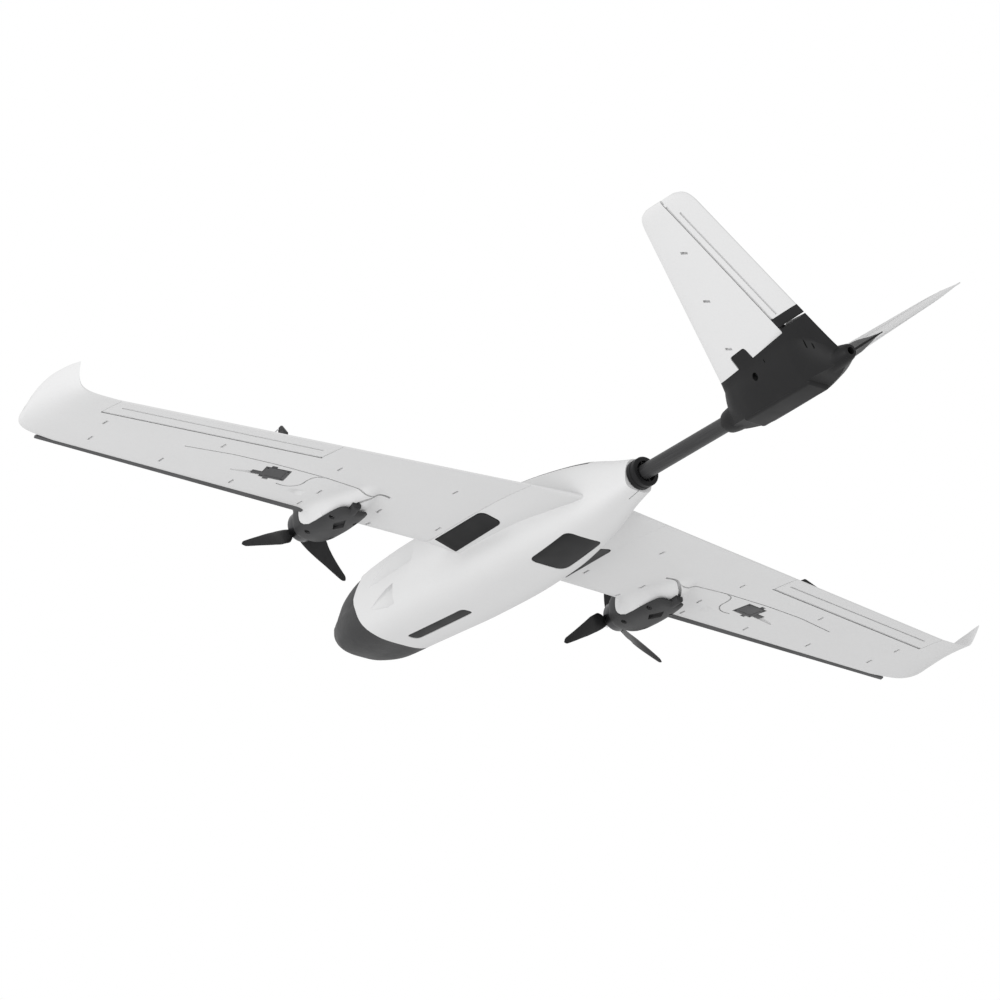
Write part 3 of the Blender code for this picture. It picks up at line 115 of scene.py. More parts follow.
# V tail: S is the distance up a panel from the apex.
TAIL_ANGLE = math.radians(39.25)
TAIL_APEX_Z = -3.0
TAIL_LE = (325.2, 0.322)
TAIL_TE = (472.6, -0.104)
RUDDER_ROOT_S = 59.3
CAP_ROOT_S = 50.2
TAIL_HINGE_IN = (60.0, 436.0)
TAIL_HINGE_OUT = (194.0, 422.6)
TAIL_ROOT_LINE = ((33.9, 336.0), (44.8, 437.8))
TAIL_TAB = ((370.5, 392.5), 50.0)
# Rounded corners of the tab, from its tip line and from its front and back edge.
TAB_FRONT_CORNER = ((-2.6, 0.2), (-0.7, 0.9), (0.1, 2.8))
TAB_BACK_CORNER = ((1.4, 3.8), (0.8, 2.0), (-1.2, 1.0))
SHAFT_RADIUS = 2.4

# Aileron linkage.
LINK_RADIUS = 14.5
HORN_X = 284.0
LINK_SPAN = 46.0
SERVO_AXIS_Z = 8.2
SERVO_SIZE = (23.0, 20.5, 11.6)
# From the output shaft to the case's near end, its middle and its mid height.
SERVO_SHIFT = (5.0, 4.8, 1.0)
# Gear end of the servo: length, width, thickness, and its place from the case's centre.
GEAR_END = (9.4, 6.2, 1.2)
GEAR_PLACE = (15.7, -3.5)
ARM_SLOT_DEPTH = 4.9

# Studio, in metres, watts and degrees.
WORLD_STRENGTH = 1.0
FLOOR_HALF = 3.0
FLOOR_Z = -4.0
# Soft lamps: name, place, size, power.
LAMPS = (("key_lamp", (3.0, 0.9, -1.1), 1.5, 45.0),
         ("fill_lamp", (-1.6, -2.4, -1.6), 2.0, 3.0))
# Camera: the point it looks at, how far away it stands, its direction from there and its roll.
LENS = 241.2
SENSOR_WIDTH = 36.0
CAMERA_AIM = Vector((0.0529, -0.0541, 0.0494))
CAMERA_DISTANCE = 5.8947
CAMERA_AZIMUTH = math.radians(54.7885)
CAMERA_ELEVATION = math.radians(-24.8263)
CAMERA_ROLL = math.radians(-0.2179)


# ---------------------------------------------------------------- mesh helpers

def place(point):
    return (Vector(point) + DATUM) * MM


def mesh_object(name, bm, smooth_angle=SMOOTH_ANGLE):
    bmesh.ops.recalc_face_normals(bm, faces=bm.faces)
    mesh = bpy.data.meshes.new(name)
    bm.to_mesh(mesh)
    bm.free()
    return shaded(add(name, mesh), smooth_angle)


def add(name, mesh):
    made = bpy.data.objects.new(name, mesh)
    bpy.context.scene.collection.objects.link(made)
    return made


def shaded(made, smooth_angle=SMOOTH_ANGLE):
    made.data.shade_smooth()
    made.data.set_sharp_from_angle(angle=math.radians(smooth_angle))
    return made


def evaluated_mesh(made):
    graph = bpy.context.evaluated_depsgraph_get()
    return bpy.data.meshes.new_from_object(made.evaluated_get(graph))


def settle(made, smooth_angle=SMOOTH_ANGLE):
    """Turns a piece's modifiers into its mesh."""
    mesh = evaluated_mesh(made)
    made.modifiers.clear()
    made.data = mesh
    return shaded(made, smooth_angle)


def carve(target, *cutters, operation="DIFFERENCE", smooth_angle=SMOOTH_ANGLE):
    """Booleans in turn; the cutters are used up."""
    for cutter in cutters:
        modifier = target.modifiers.new(cutter.name, "BOOLEAN")
        modifier.operation = operation
        modifier.solver = "EXACT"
        modifier.object = cutter
    settle(target, smooth_angle)
    for cutter in cutters:
        bpy.data.objects.remove(cutter, do_unlink=True)
    return target


def join(target, *others):
    return carve(target, *others, operation="UNION")


def soften(made, width, segments=2, angle=35.0):
    """Rounds the edges."""
    modifier = made.modifiers.new("edges", "BEVEL")
    modifier.width = width * MM
    modifier.segments = segments
    modifier.limit_method = "ANGLE"
    modifier.angle_limit = math.radians(angle)
    modifier.harden_normals = False
    return settle(made)


def loft(name, rings, smooth_angle=SMOOTH_ANGLE):
    """A closed skin through rings of equal count, each end capped rung by rung."""
    bm = bmesh.new()
    rows = [[bm.verts.new(place(point)) for point in ring] for ring in rings]
    count = len(rows[0])
    for low, high in zip(rows, rows[1:]):
        for i in range(count):
            j = (i + 1) % count
            bm.faces.new((low[i], low[j], high[j], high[i]))
    for row in (rows[0], rows[-1]):
        for i in range((count - 1) // 2):
            rung = [row[i], row[i + 1], row[count - 2 - i], row[count - 1 - i]]
            if rung[1] is rung[2]:
                rung.pop(1)
            bm.faces.new(rung)
    return mesh_object(name, bm, smooth_angle)


def box(name, low, high, turn=None):
    """A block between two corners, for cutting or bevelling, turned about its centre."""
    low = Vector(low)
    high = Vector(high)
    centre = (low + high) / 2
    turn = turn or Matrix.Identity(3)
    bm = bmesh.new()
    bmesh.ops.create_cube(bm, size=1.0)
    for vert in bm.verts:
        local = Vector([vert.co[i] * (high - low)[i] for i in range(3)])
        vert.co = place(centre + turn @ local)
    return mesh_object(name, bm)


def block(name, middle, half, turn=None):
    half = Vector(half)
    return box(name, middle - half, middle + half, turn)


def rod(name, start, end, radius, sides=32, end_radius=None):
    """A cylinder or cone between two points."""
    start = Vector(start)
    end = Vector(end)
    end_radius = radius if end_radius is None else end_radius
    turn = Vector((0, 0, 1)).rotation_difference(end - start).to_matrix()
    rings = []
    for point, r in ((start, radius), (end, end_radius)):
        rings.append([point + turn @ Vector((math.cos(a) * r, math.sin(a) * r, 0))
                      for a in (2 * math.pi * (k + 0.5) / sides for k in range(sides))])
    return loft(name, rings)


def prism(name, outline, thickness, matrix):
    """A flat outline extruded both ways from its plane; matrix maps it into place."""
    bm = bmesh.new()
    layers = []
    for z in (-thickness / 2, thickness / 2):
        layers.append([bm.verts.new(place(matrix @ Vector((u, v, z)))) for u, v in outline])
    count = len(outline)
    for i in range(count):
        j = (i + 1) % count
        bm.faces.new((layers[0][i], layers[0][j], layers[1][j], layers[1][i]))
    bm.faces.new(layers[0][::-1])
    bm.faces.new(layers[1])
    return mesh_object(name, bm)


def turned(name, profile, origin, axis, steps=64):
    """A closed profile of (radius, height) pairs turned about an axis."""
    turn = Vector((0, 0, 1)).rotation_difference(Vector(axis)).to_matrix()
    bm = bmesh.new()
    rings = []
    for radius, height in profile:
        rings.append([bm.verts.new(place(Vector(origin) + turn @ Vector(
            (math.cos(a) * radius, math.sin(a) * radius, height))))
            for a in (2 * math.pi * k / steps for k in range(steps))])
    for high, low in zip(rings, rings[1:] + rings[:1]):
        for i in range(steps):
            j = (i + 1) % steps
            bm.faces.new((high[i], high[j], low[j], low[i]))
    return mesh_object(name, bm)


def tube_along(name, points, radius, sides=12):
    """A round wire through points, with flat ends."""
    curve = bpy.data.curves.new(name, "CURVE")
    curve.dimensions = "3D"
    curve.bevel_depth = radius * MM
    curve.bevel_resolution = max(1, sides // 4)
    curve.use_fill_caps = True
    spline = curve.splines.new("POLY")
    spline.points.add(len(points) - 1)
    for spot, point in zip(spline.points, points):
        spot.co = (*place(point), 1.0)
    drawn = add(name, curve)
    mesh = evaluated_mesh(drawn)
    bpy.data.objects.remove(drawn, do_unlink=True)
    bm = bmesh.new()
    bm.from_mesh(mesh)
    bmesh.ops.remove_doubles(bm, verts=bm.verts, dist=WELD * MM)
    bpy.data.meshes.remove(mesh)
    return mesh_object(name, bm, PANEL_ANGLE)


def corner_curve(before, here, after, radius, steps):
    """Points of a short curve that replaces a corner."""
    a, b = [here + (there - here).normalized() * min(radius, (there - here).length * CORNER_SHARE)
            for there in (before, after)]
    return [a * (1 - t) ** 2 + here * 2 * t * (1 - t) + b * t ** 2
            for t in (k / steps for k in range(steps + 1))]


def rounded_path(points, radius, steps=5):
    """An open path whose inner corners are replaced by short curves."""
    points = [Vector(point) for point in points]
    out = [points[0]]
    for before, here, after in zip(points, points[1:], points[2:]):
        out += corner_curve(before, here, after, radius, steps)
    return out + [points[-1]]


def frame_matrix(origin, u, v):
    """Local x along u and local y along v, at origin."""
    u = Vector(u).normalized()
    w = u.cross(Vector(v)).normalized()
    v = w.cross(u)
    matrix = Matrix((u, v, w)).transposed().to_4x4()
    matrix.translation = Vector(origin)
    return matrix


def at_height(z):
    return frame_matrix((0, 0, z), (1, 0, 0), (0, 1, 0))


def side_prism(name, outline, half_width, centre_x=0.0):
    """A cutter with an outline in (Y, Z), extruded along X."""
    return prism(name, outline, half_width * 2, frame_matrix((centre_x, 0, 0), (0, 1, 0), (0, 0, 1)))


def round_corners(points, radius, steps=8):
    """Each corner of an outline replaced by a short curve."""
    points = [Vector(point) for point in points]
    out = []
    for i, here in enumerate(points):
        after = points[(i + 1) % len(points)]
        out += [tuple(spot) for spot in corner_curve(points[i - 1], here, after, radius, steps)]
    return out


def spread(low, high, step):
    """Evenly spaced values from low to high, both included."""
    count = max(1, round((high - low) / step))
    return [low + (high - low) * k / count for k in range(count + 1)]


def smooth_at(table, t):
    """Values between the rows of a table, on a curve through each row that never overshoots."""
    if t <= table[0][0]:
        return list(table[0][1:])
    if t >= table[-1][0]:
        return list(table[-1][1:])
    k = next(i for i in range(len(table) - 1) if t <= table[i + 1][0])
    width = table[k + 1][0] - table[k][0]
    u = (t - table[k][0]) / width
    out = []
    for column in range(1, len(table[0])):
        rises = [(b[column] - a[column]) / (b[0] - a[0]) for a, b in zip(table, table[1:])]
        slopes = [rises[0]]
        for a, b in zip(rises, rises[1:]):
            slopes.append(0.0 if a * b <= 0 else 2 * a * b / (a + b))
        slopes.append(rises[-1])
        low, high = table[k][column], table[k + 1][column]
        out.append(low * (1 + 2 * u) * (1 - u) ** 2 + high * u * u * (3 - 2 * u)
                   + slopes[k] * width * u * (1 - u) ** 2 + slopes[k + 1] * width * u * u * (u - 1))
    return out


def ease(low, high, value):
    """0 below low, 1 above high, and smooth between."""
    t = min(1.0, max(0.0, (value - low) / (high - low)))
    return t * t * (3 - 2 * t)


# ---------------------------------------------------------------- showing the pieces

def show(made, node, body, finish):
    """The piece stands for a CAD node and moves with its body."""
    made.name = node + "_detail"
    made.data.name = made.name
    made.data.materials.clear()
    made.data.materials.append(finish)
    for polygon in made.data.polygons:
        polygon.material_index = 0
    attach(made, body)
    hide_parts(node)
    return made


def mirrored(made):
    """The starboard image of a port piece."""
    mesh = made.data.copy()
    mesh.transform(Matrix.Scale(-1, 4, (1, 0, 0)))
    mesh.flip_normals()
    return add(made.name + "_image", mesh)


def show_pair(made, node, body, finish):
    """Both sides of a port piece; %s in a name stands for left or right."""
    for piece, word in ((made, "left"), (mirrored(made), "right")):
        show(piece, node.replace("%s", word), body.replace("%s", word), finish)


# ---------------------------------------------------------------- materials

class Surface:
    """Builds one procedural material; every texture is in the piece's own coordinates."""

    def __init__(self, name):
        self.material = bpy.data.materials.new(name)
        self.material.use_nodes = True
        self.tree = self.material.node_tree
        self.shader = self.tree.nodes["Principled BSDF"]
        self.where = self.tree.nodes.new("ShaderNodeTexCoord").outputs["Object"]
        self.normal = None

    def node(self, kind, **values):
        made = self.tree.nodes.new(kind)
        for key, value in values.items():
            if key in made.inputs:
                made.inputs[key].default_value = value
            else:
                setattr(made, key, value)
        return made

    def link(self, out, into):
        self.tree.links.new(out, into)

    def stretched(self, scale):
        mapping = self.node("ShaderNodeMapping", Scale=scale)
        self.link(self.where, mapping.inputs["Vector"])
        return mapping.outputs["Vector"]

    def noise(self, scale, detail=3.0, stretch=(1, 1, 1)):
        made = self.node("ShaderNodeTexNoise", Scale=scale, Detail=detail)
        self.link(self.stretched(stretch), made.inputs["Vector"])
        return made.outputs["Fac"]

    def cells(self, scale, feature="F1"):
        made = self.node("ShaderNodeTexVoronoi", Scale=scale)
        made.feature = feature
        self.link(self.where, made.inputs["Vector"])
        return made.outputs["Distance"]

    def wave(self, scale, axis, distortion=0.0):
        made = self.node("ShaderNodeTexWave", Scale=scale, Distortion=distortion)
        made.bands_direction = axis
        self.link(self.where, made.inputs["Vector"])
        return made.outputs["Fac"]

    def ramp(self, source, low, high, start=0.3, end=0.7):
        made = self.node("ShaderNodeValToRGB")
        made.color_ramp.elements[0].position = start
        made.color_ramp.elements[1].position = end
        made.color_ramp.elements[0].color = (*low, 1.0)
        made.color_ramp.elements[1].color = (*high, 1.0)
        self.link(source, made.inputs["Fac"])
        return made.outputs["Color"]

    def mix(self, factor, a, b):
        made = self.node("ShaderNodeMix")
        made.data_type = "RGBA"
        made.inputs[0].default_value = factor
        self.link(a, made.inputs[6])
        self.link(b, made.inputs[7])
        return made.outputs[2]

    def colour(self, source):
        self.link(source, self.shader.inputs["Base Color"])

    def rough(self, source, low, high):
        made = self.node("ShaderNodeMapRange")
        made.inputs["To Min"].default_value = low
        made.inputs["To Max"].default_value = high
        self.link(source, made.inputs["Value"])
        self.link(made.outputs["Result"], self.shader.inputs["Roughness"])

    def bump(self, source, strength, height):
        """Adds relief; height is in metres."""
        made = self.node("ShaderNodeBump", Strength=strength, Distance=height)
        self.link(source, made.inputs["Height"])
        if self.normal is not None:
            self.link(self.normal, made.inputs["Normal"])
        self.normal = made.outputs["Normal"]
        self.link(self.normal, self.shader.inputs["Normal"])

    def set(self, **values):
        for key, value in values.items():
            self.shader.inputs[key.replace("_", " ")].default_value = value


def shade(base, factor):
    return tuple(channel * factor for channel in base)


def foam_surface(name, base=(0.60, 0.60, 0.602)):
    """Moulded bead foam: faint cells of expanded beads under a smooth skin."""
    s = Surface(name)
    beads = s.cells(300.0, "SMOOTH_F1")
    mottle = s.noise(26.0, 4.0)
    tint = s.ramp(mottle, shade(base, 0.975), shade(base, 1.0))
    edges = s.ramp(s.cells(300.0, "DISTANCE_TO_EDGE"), shade(base, 0.955), shade(base, 1.0), 0.0, 0.06)
    s.colour(s.mix(0.5, tint, edges))
    s.rough(s.noise(180.0, 3.0), 0.52, 0.7)
    s.bump(beads, 0.02, 0.00003)
    s.set(Specular_IOR_Level=0.2)
    return s.material


def moulded_surface(name, base, low=0.4, high=0.6, grain=1500.0, relief=0.00012, scuff=1.5):
    """Moulded plastic: spark-eroded grain, uneven sheen and lighter rubbed patches."""
    s = Surface(name)
    patches = s.noise(34.0, 5.0)
    rubbed = s.ramp(patches, base, shade(base, scuff), 0.42, 0.78)
    speckle = s.ramp(s.noise(900.0, 2.0), shade(base, 0.88), shade(base, 1.12))
    s.colour(s.mix(0.5, rubbed, speckle))
    s.rough(s.noise(60.0, 4.0), low, high)
    s.bump(s.noise(grain, 3.0), 0.2, relief)
    s.set(Specular_IOR_Level=0.15)
    return s.material


def bumper_surface(name):
    """Dense dark foam for belly landings: closed beads and a scuffed underside."""
    s = Surface(name)
    base = (0.039, 0.039, 0.04)
    edges = s.ramp(s.cells(330.0, "DISTANCE_TO_EDGE"), shade(base, 0.8), base, 0.0, 0.09)
    scuffs = s.ramp(s.noise(70.0, 6.0, (1, 0.15, 1)), base, shade(base, 1.45), 0.5, 0.75)
    s.colour(s.mix(0.5, edges, scuffs))
    s.rough(s.noise(120.0, 4.0), 0.48, 0.7)
    s.bump(s.cells(330.0, "SMOOTH_F1"), 0.2, 0.0005)
    s.bump(s.noise(1800.0, 2.0), 0.2, 0.0001)
    s.set(Specular_IOR_Level=0.2)
    return s.material


def carbon_surface(name, base, along):
    """Pultruded carbon tube: long fibres in clear resin. along is the stretch of each axis."""
    s = Surface(name)
    fibres = s.noise(900.0, 4.0, along)
    s.colour(s.ramp(fibres, shade(base, 0.8), shade(base, 1.2)))
    s.rough(fibres, 0.36, 0.5)
    s.bump(fibres, 0.12, 0.00005)
    s.set(Specular_IOR_Level=0.2)
    return s.material


def propeller_surface(name):
    """Glossy glass-filled nylon with faint flow lines."""
    s = Surface(name)
    base = (0.0085, 0.0085, 0.009)
    flow = s.noise(240.0, 5.0, (1, 1, 0.3))
    s.colour(s.ramp(flow, shade(base, 0.75), shade(base, 1.3)))
    s.rough(s.noise(50.0, 4.0), 0.3, 0.42)
    s.bump(s.noise(1300.0, 2.0), 0.12, 0.00006)
    s.set(Specular_IOR_Level=0.25)
    return s.material


def metal_surface(name, base, low, high, turned_marks=900.0):
    """Turned metal: fine tool marks across the turning axis."""
    s = Surface(name)
    marks = s.wave(turned_marks, "Y", 1.5)
    s.colour(s.mix(0.35, s.ramp(s.noise(90.0, 5.0), shade(base, 0.85), shade(base, 1.1)),
                   s.ramp(marks, shade(base, 0.8), shade(base, 1.1))))
    s.rough(s.noise(140.0, 4.0), low, high)
    s.bump(marks, 0.12, 0.00004)
    s.set(Metallic=1.0)
    return s.material


def winding_surface(name):
    """Enamelled copper windings between dark laminated poles."""
    s = Surface(name)
    wires = s.wave(620.0, "Y", 3.0)
    s.colour(s.ramp(wires, (0.13, 0.045, 0.02), (0.62, 0.27, 0.11)))
    s.rough(s.noise(400.0, 3.0), 0.25, 0.45)
    s.bump(wires, 0.7, 0.0003)
    s.set(Metallic=0.8)
    return s.material


def board_surface(name):
    """Lacquered circuit board with tracks and small parts."""
    s = Surface(name)
    tracks = s.cells(420.0, "DISTANCE_TO_EDGE")
    parts = s.cells(160.0)
    s.colour(s.mix(0.5, s.ramp(tracks, (0.05, 0.16, 0.07), (0.01, 0.06, 0.03), 0.02, 0.09),
                   s.ramp(parts, (0.012, 0.012, 0.014), (0.02, 0.10, 0.05), 0.2, 0.35)))
    s.rough(s.noise(300.0, 3.0), 0.25, 0.5)
    s.bump(parts, 0.5, 0.0008)
    return s.material


def pack_surface(name):
    """Shrink wrap drawn over cells: blue film with fine wrinkles."""
    s = Surface(name)
    wrinkles = s.noise(120.0, 6.0, (1, 0.3, 1))
    s.colour(s.ramp(wrinkles, (0.015, 0.02, 0.07), (0.03, 0.05, 0.17)))
    s.rough(wrinkles, 0.18, 0.36)
    s.bump(wrinkles, 0.5, 0.0006)
    return s.material


FOAM = foam_surface("bead_foam")
BUMPER = bumper_surface("dense_dark_foam")
PLATE = moulded_surface("belly_moulding", (0.0075, 0.0075, 0.008), 0.42, 0.6)
HOUSING = moulded_surface("tail_moulding", (0.0115, 0.0115, 0.012), 0.42, 0.58)
COVER = moulded_surface("nacelle_moulding", (0.034, 0.034, 0.035), 0.42, 0.58)
STRIP = moulded_surface("edge_strip_moulding", (0.075, 0.075, 0.077), 0.5, 0.65)
NYLON = moulded_surface("nylon_moulding", (0.014, 0.014, 0.0145), 0.35, 0.5, 2200.0)
SERVO = moulded_surface("servo_case", (0.055, 0.055, 0.057), 0.38, 0.55)
WRAP = moulded_surface("heat_shrink_wrap", (0.012, 0.012, 0.013), 0.3, 0.45, 300.0, 0.0003)
BOOM = carbon_surface("carbon_tube_aft", (0.032, 0.032, 0.033), (1, 0.03, 1))
SPAR = carbon_surface("carbon_tube_across", (0.036, 0.036, 0.037), (0.03, 1, 1))
PROPELLER = propeller_surface("propeller_nylon")
MOTOR = metal_surface("anodised_bell", (0.07, 0.07, 0.073), 0.28, 0.45)
STEEL = metal_surface("steel", (0.60, 0.60, 0.61), 0.2, 0.35, 1400.0)
WINDING = winding_surface("copper_winding")
BOARD = board_surface("circuit_board")
PACK = pack_surface("battery_wrap")


# ---------------------------------------------------------------- fuselage shape

# Stations of the pod: Y, half width, bottom Z, top Z.
POD = (
    (-279.4, 0.8, 11.6, 14.0),
    (-279.0, 3.0, 9.5, 16.0),
    (-277.2, 9.0, 5.0, 22.5),
    (-272.0, 15.0, -1.0, 30.5),
    (-261.0, 21.0, -12.0, 37.5),
    (-243.0, 30.0, -22.5, 43.0),
    (-215.0, 38.0, -28.2, 48.0),
    (-185.0, 41.0, -29.2, 51.0),
    (-140.0, 43.0, -32.0, 53.0),
    (-80.0, 45.0, -35.5, 52.5),
    (-20.0, 45.0, -37.4, 51.0),
    (40.0, 41.5, -36.5, 45.6),
    (85.0, 34.5, -33.5, 39.6),
    (125.0, 26.0, -28.0, 31.5),
    (158.0, 18.0, -20.5, 20.5),
    (186.0, 13.2, -15.2, 12.0),
)
NOSE_YS = (-279.4, -279.0, -278.2, -277.2, -275.8, -274.0, -272.0, -269.5, -266.5, -263.0)
POD_END_Y = 180.0
POD_SIDES = 104
SQUARE_BELOW = 3.1
SQUARE_ABOVE = 2.5
WIDEST = 0.34


def pod_section(y, inset=0.0):
    """A rounded section whose widest line lies low on the side."""
    half_width, low, high = smooth_at(POD, y)
    centre = low + (high - low) * WIDEST
    ring = []
    for k in range(POD_SIDES):
        angle = 2 * math.pi * k / POD_SIDES
        c = math.cos(angle)
        s = math.sin(angle)
        power = 2 / (SQUARE_ABOVE if s > 0 else SQUARE_BELOW)
        depth = (high - centre if s > 0 else centre - low) - inset
        x = math.copysign(abs(c) ** power, c) * (half_width - inset)
        ring.append((x, y, centre + math.copysign(abs(s) ** power, s) * depth))
    return ring


def pod_rings(inset=0.0, first=-280.0, last=200.0, step=5.0):
    ys = list(NOSE_YS) + spread(-259.0, POD_END_Y, step)
    return [pod_section(y, inset) for y in ys if first < y < last]


def pod_side_x(y, z):
    """Half width of the pod at a height."""
    half_width, low, high = smooth_at(POD, y)
    centre = low + (high - low) * WIDEST
    reach, power = (high - centre, SQUARE_ABOVE) if z > centre else (centre - low, SQUARE_BELOW)
    ratio = min(1.0, abs(z - centre) / reach)
    return half_width * (1 - ratio ** power) ** (1 / power)


# ---------------------------------------------------------------- wing shape

SECTION_STEPS = 60


def section_fractions():
    """Distances along the chord, closest together at the leading edge."""
    return [(1 - math.cos(math.pi * k / SECTION_STEPS)) / 2 for k in range(SECTION_STEPS + 1)]


def half_depth(s, thickness):
    """The usual four-digit thickness curve, for a chord of 1."""
    return 5 * thickness * (0.2969 * math.sqrt(s) - 0.126 * s - 0.3516 * s ** 2
                            + 0.2843 * s ** 3 - 0.1036 * s ** 4)


def section_low(s, chord):
    """Underside: rounded up at the nose, flat, then drooping to the trailing edge."""
    z = -TE_DROOP * chord * max(0.0, (s - 0.45) / 0.55) ** 2
    nose = max(0.0, 1 - s / 0.13)
    return z + NOSE_RISE * chord * nose ** 2.4


def section_high(s, chord, thickness=WING_THICKNESS):
    depth = 2 * half_depth(s, thickness) * chord
    edge = TE_EDGE * min(1.0, s * 1.2)
    nose = max(0.0, 1 - s / 0.13) ** 2.4 * NOSE_RISE * chord
    low = section_low(s, chord) - nose
    return low + max(depth, edge) + nose * (1 - min(1.0, s / 0.13))


def wing_section(le, te, thickness=WING_THICKNESS, bow=(0.0, 0.0)):
    """Ring between a leading and a trailing edge point, bowed out (X, Z) between."""
    le = Vector(le)
    te = Vector(te)
    chord = (te - le).length
    fractions = section_fractions()
    ring = []
    for s, top in [(s, True) for s in reversed(fractions)] + [(s, False) for s in fractions]:
        point = le.lerp(te, s)
        height = section_high(s, chord, thickness) if top else section_low(s, chord)
        arch = 4 * s * (1 - s)
        ring.append((point.x + bow[0] * arch, point.y, point.z + height + bow[1] * arch))
    return ring


def le_y(x):
    return LE_ROOT_Y + LE_SLOPE * x


def te_y(x):
    return TE_ROOT_Y + TE_SLOPE * x


def under_z(x):
    return DIHEDRAL_ROOT_Z + DIHEDRAL_SLOPE * x


def panel_ring(x):
    z = under_z(x)
    return wing_section((x, le_y(x), z), (x, te_y(x), z))


# Wing tip stations: distance up the tip's curve, leading edge point, trailing edge point,
# thickness, bow (X, Z).
TIP = (
    (0.0, 446.0, -67.19, 5.34, 446.0, 44.01, 5.34, 0.108, 0.0, 0.0),
    (16.0, 462.0, -65.6, 5.9, 462.0, 42.4, 5.9, 0.100, 0.0, 0.0),
    (28.0, 474.0, -63.4, 6.4, 474.0, 41.0, 7.4, 0.088, 0.6, 0.4),
    (36.5, 482.0, -59.4, 7.4, 481.5, 40.6, 11.0, 0.074, 2.0, 1.2),
    (43.5, 487.0, -53.6, 8.8, 484.8, 42.0, 17.0, 0.060, 3.6, 2.2),
    (50.0, 489.2, -47.0, 10.8, 486.3, 44.6, 23.0, 0.046, 4.6, 3.2),
    (56.0, 490.0, -40.0, 13.6, 487.2, 47.4, 28.4, 0.026, 5.0, 3.6),
)


def tip_ring(t):
    ax, ay, az, bx, by, bz, thickness, bow_x, bow_z = smooth_at(TIP, t)
    return wing_section((ax, ay, az), (bx, by, bz), thickness, (bow_x, bow_z))


def section_middle(x, y):
    """Height of the wing's mid surface, and its half thickness, at a plan point."""
    chord = te_y(x) - le_y(x)
    s = (y - le_y(x)) / chord
    low = under_z(x) + section_low(s, chord)
    high = under_z(x) + section_high(s, chord)
    return (low + high) / 2, (high - low) / 2


def wing_under(x, y):
    """Height of the wing's underside at a plan point."""
    chord = te_y(x) - le_y(x)
    return under_z(x) + section_low(min(1.0, max(0.0, (y - le_y(x)) / chord)), chord)


def hinge_points():
    """The aileron's axis: inner and outer point, and the half thickness at each."""
    out = []
    for x, y in (AILERON_IN, AILERON_OUT):
        z, half = section_middle(x, y)
        out.append((Vector((x, y, z)), half))
    return out


# ---------------------------------------------------------------- tail shape

def tail_point(s, y, out, side=1):
    """A point up the tail panel: S along it, out is the height off its mid plane."""
    x = s * math.cos(TAIL_ANGLE) - out * math.sin(TAIL_ANGLE)
    z = TAIL_APEX_Z + s * math.sin(TAIL_ANGLE) + out * math.cos(TAIL_ANGLE)
    return Vector((x * side, y, z))


TAIL_STEPS = 30


def tail_ring(s, front, back, depth, side=1):
    """A symmetrical section of a given greatest depth."""
    chord = back - front
    ring = []
    spots = [(1 - math.cos(math.pi * k / TAIL_STEPS)) / 2 for k in range(TAIL_STEPS + 1)]
    for f, sign in [(f, 1) for f in reversed(spots)] + [(f, -1) for f in spots[1:]]:
        half = max(half_depth(f, depth / chord) * chord, 0.55 * min(1.0, f * 9))
        ring.append(tail_point(s, front + chord * f, sign * half, side))
    return ring


def tail_front(s):
    return TAIL_LE[0] + s * TAIL_LE[1]


def tail_back(s):
    return TAIL_TE[0] + s * TAIL_TE[1]


def tail_depth(s):
    return 15.0 - 7.8 * (s - 30.0) / 150.0


# Tip of a tail panel: S, leading edge Y, trailing edge Y, depth.
TAIL_TIP = (
    (176.0, 381.9, 454.3, 7.4),
    (180.0, 383.2, 453.8, 7.2),
    (187.5, 386.6, 451.0, 6.4),
    (192.0, 391.5, 446.0, 5.0),
    (194.5, 399.0, 437.0, 2.6),
)


def fin_rings(start_s):
    rings = [tail_ring(s, tail_front(s), tail_back(s), tail_depth(s))
             for s in spread(start_s, 175.0, 8.0)]
    for s in spread(177.0, 194.5, 1.25):
        front, back, depth = smooth_at(TAIL_TIP, s)
        rings.append(tail_ring(s, front, back, depth))
    return rings


def tail_hinge(s):
    (s0, y0), (s1, y1) = TAIL_HINGE_IN, TAIL_HINGE_OUT
    return y0 + (s - s0) * (y1 - y0) / (s1 - s0)


def tail_under(s, y):
    """Distance of a tail panel's underside below its mid plane."""
    front = tail_front(s)
    chord = tail_back(s) - front
    return half_depth((y - front) / chord, tail_depth(s) / chord) * chord


def tail_half_depth_at_hinge(s):
    return tail_under(s, tail_hinge(s))


def tail_prism(name, outline, depth, side=1, off=0.0):
    """A cutter with an outline in (S, Y) of the panel's plane."""
    origin = tail_point(0, 0, off, side)
    along = tail_point(1, 0, off, side) - origin
    return prism(name, outline, depth, frame_matrix(origin, along, (0, 1, 0)))


# ---------------------------------------------------------------- pod pieces

HATCH_HALF_WIDTH = 29.0
HATCH_YS = (-204.0, -26.0)
# Panels under the belly: half width, stations, corner radius.
SKID = (6.2, (-167.5, -79.0), 6.0)
WINDOW = (19.5, (43.0, 102.0), 9.0)
RECESS = 3.4
ROOT_PANEL_YS = (-27.0, 45.0)
ROOT_PANEL_XS = (49.0, 71.5)
DECK_YS = (-12.0, 126.0)
# How far the wing root's underside hangs below the wing: X, drop.
ROOT_DROP = ((20.0, 11.0), (49.0, 6.2), (71.5, 0.6), (73.0, 0.3))
# Crease round the bumper: Y, height.
BUMPER_CREASE = ((-276.0, 14.0), (-247.0, 8.8), (-221.0, 6.1), (-204.0, 5.0))
CREASE_STEP = 2.4
OUTSIDE_X = 60.0
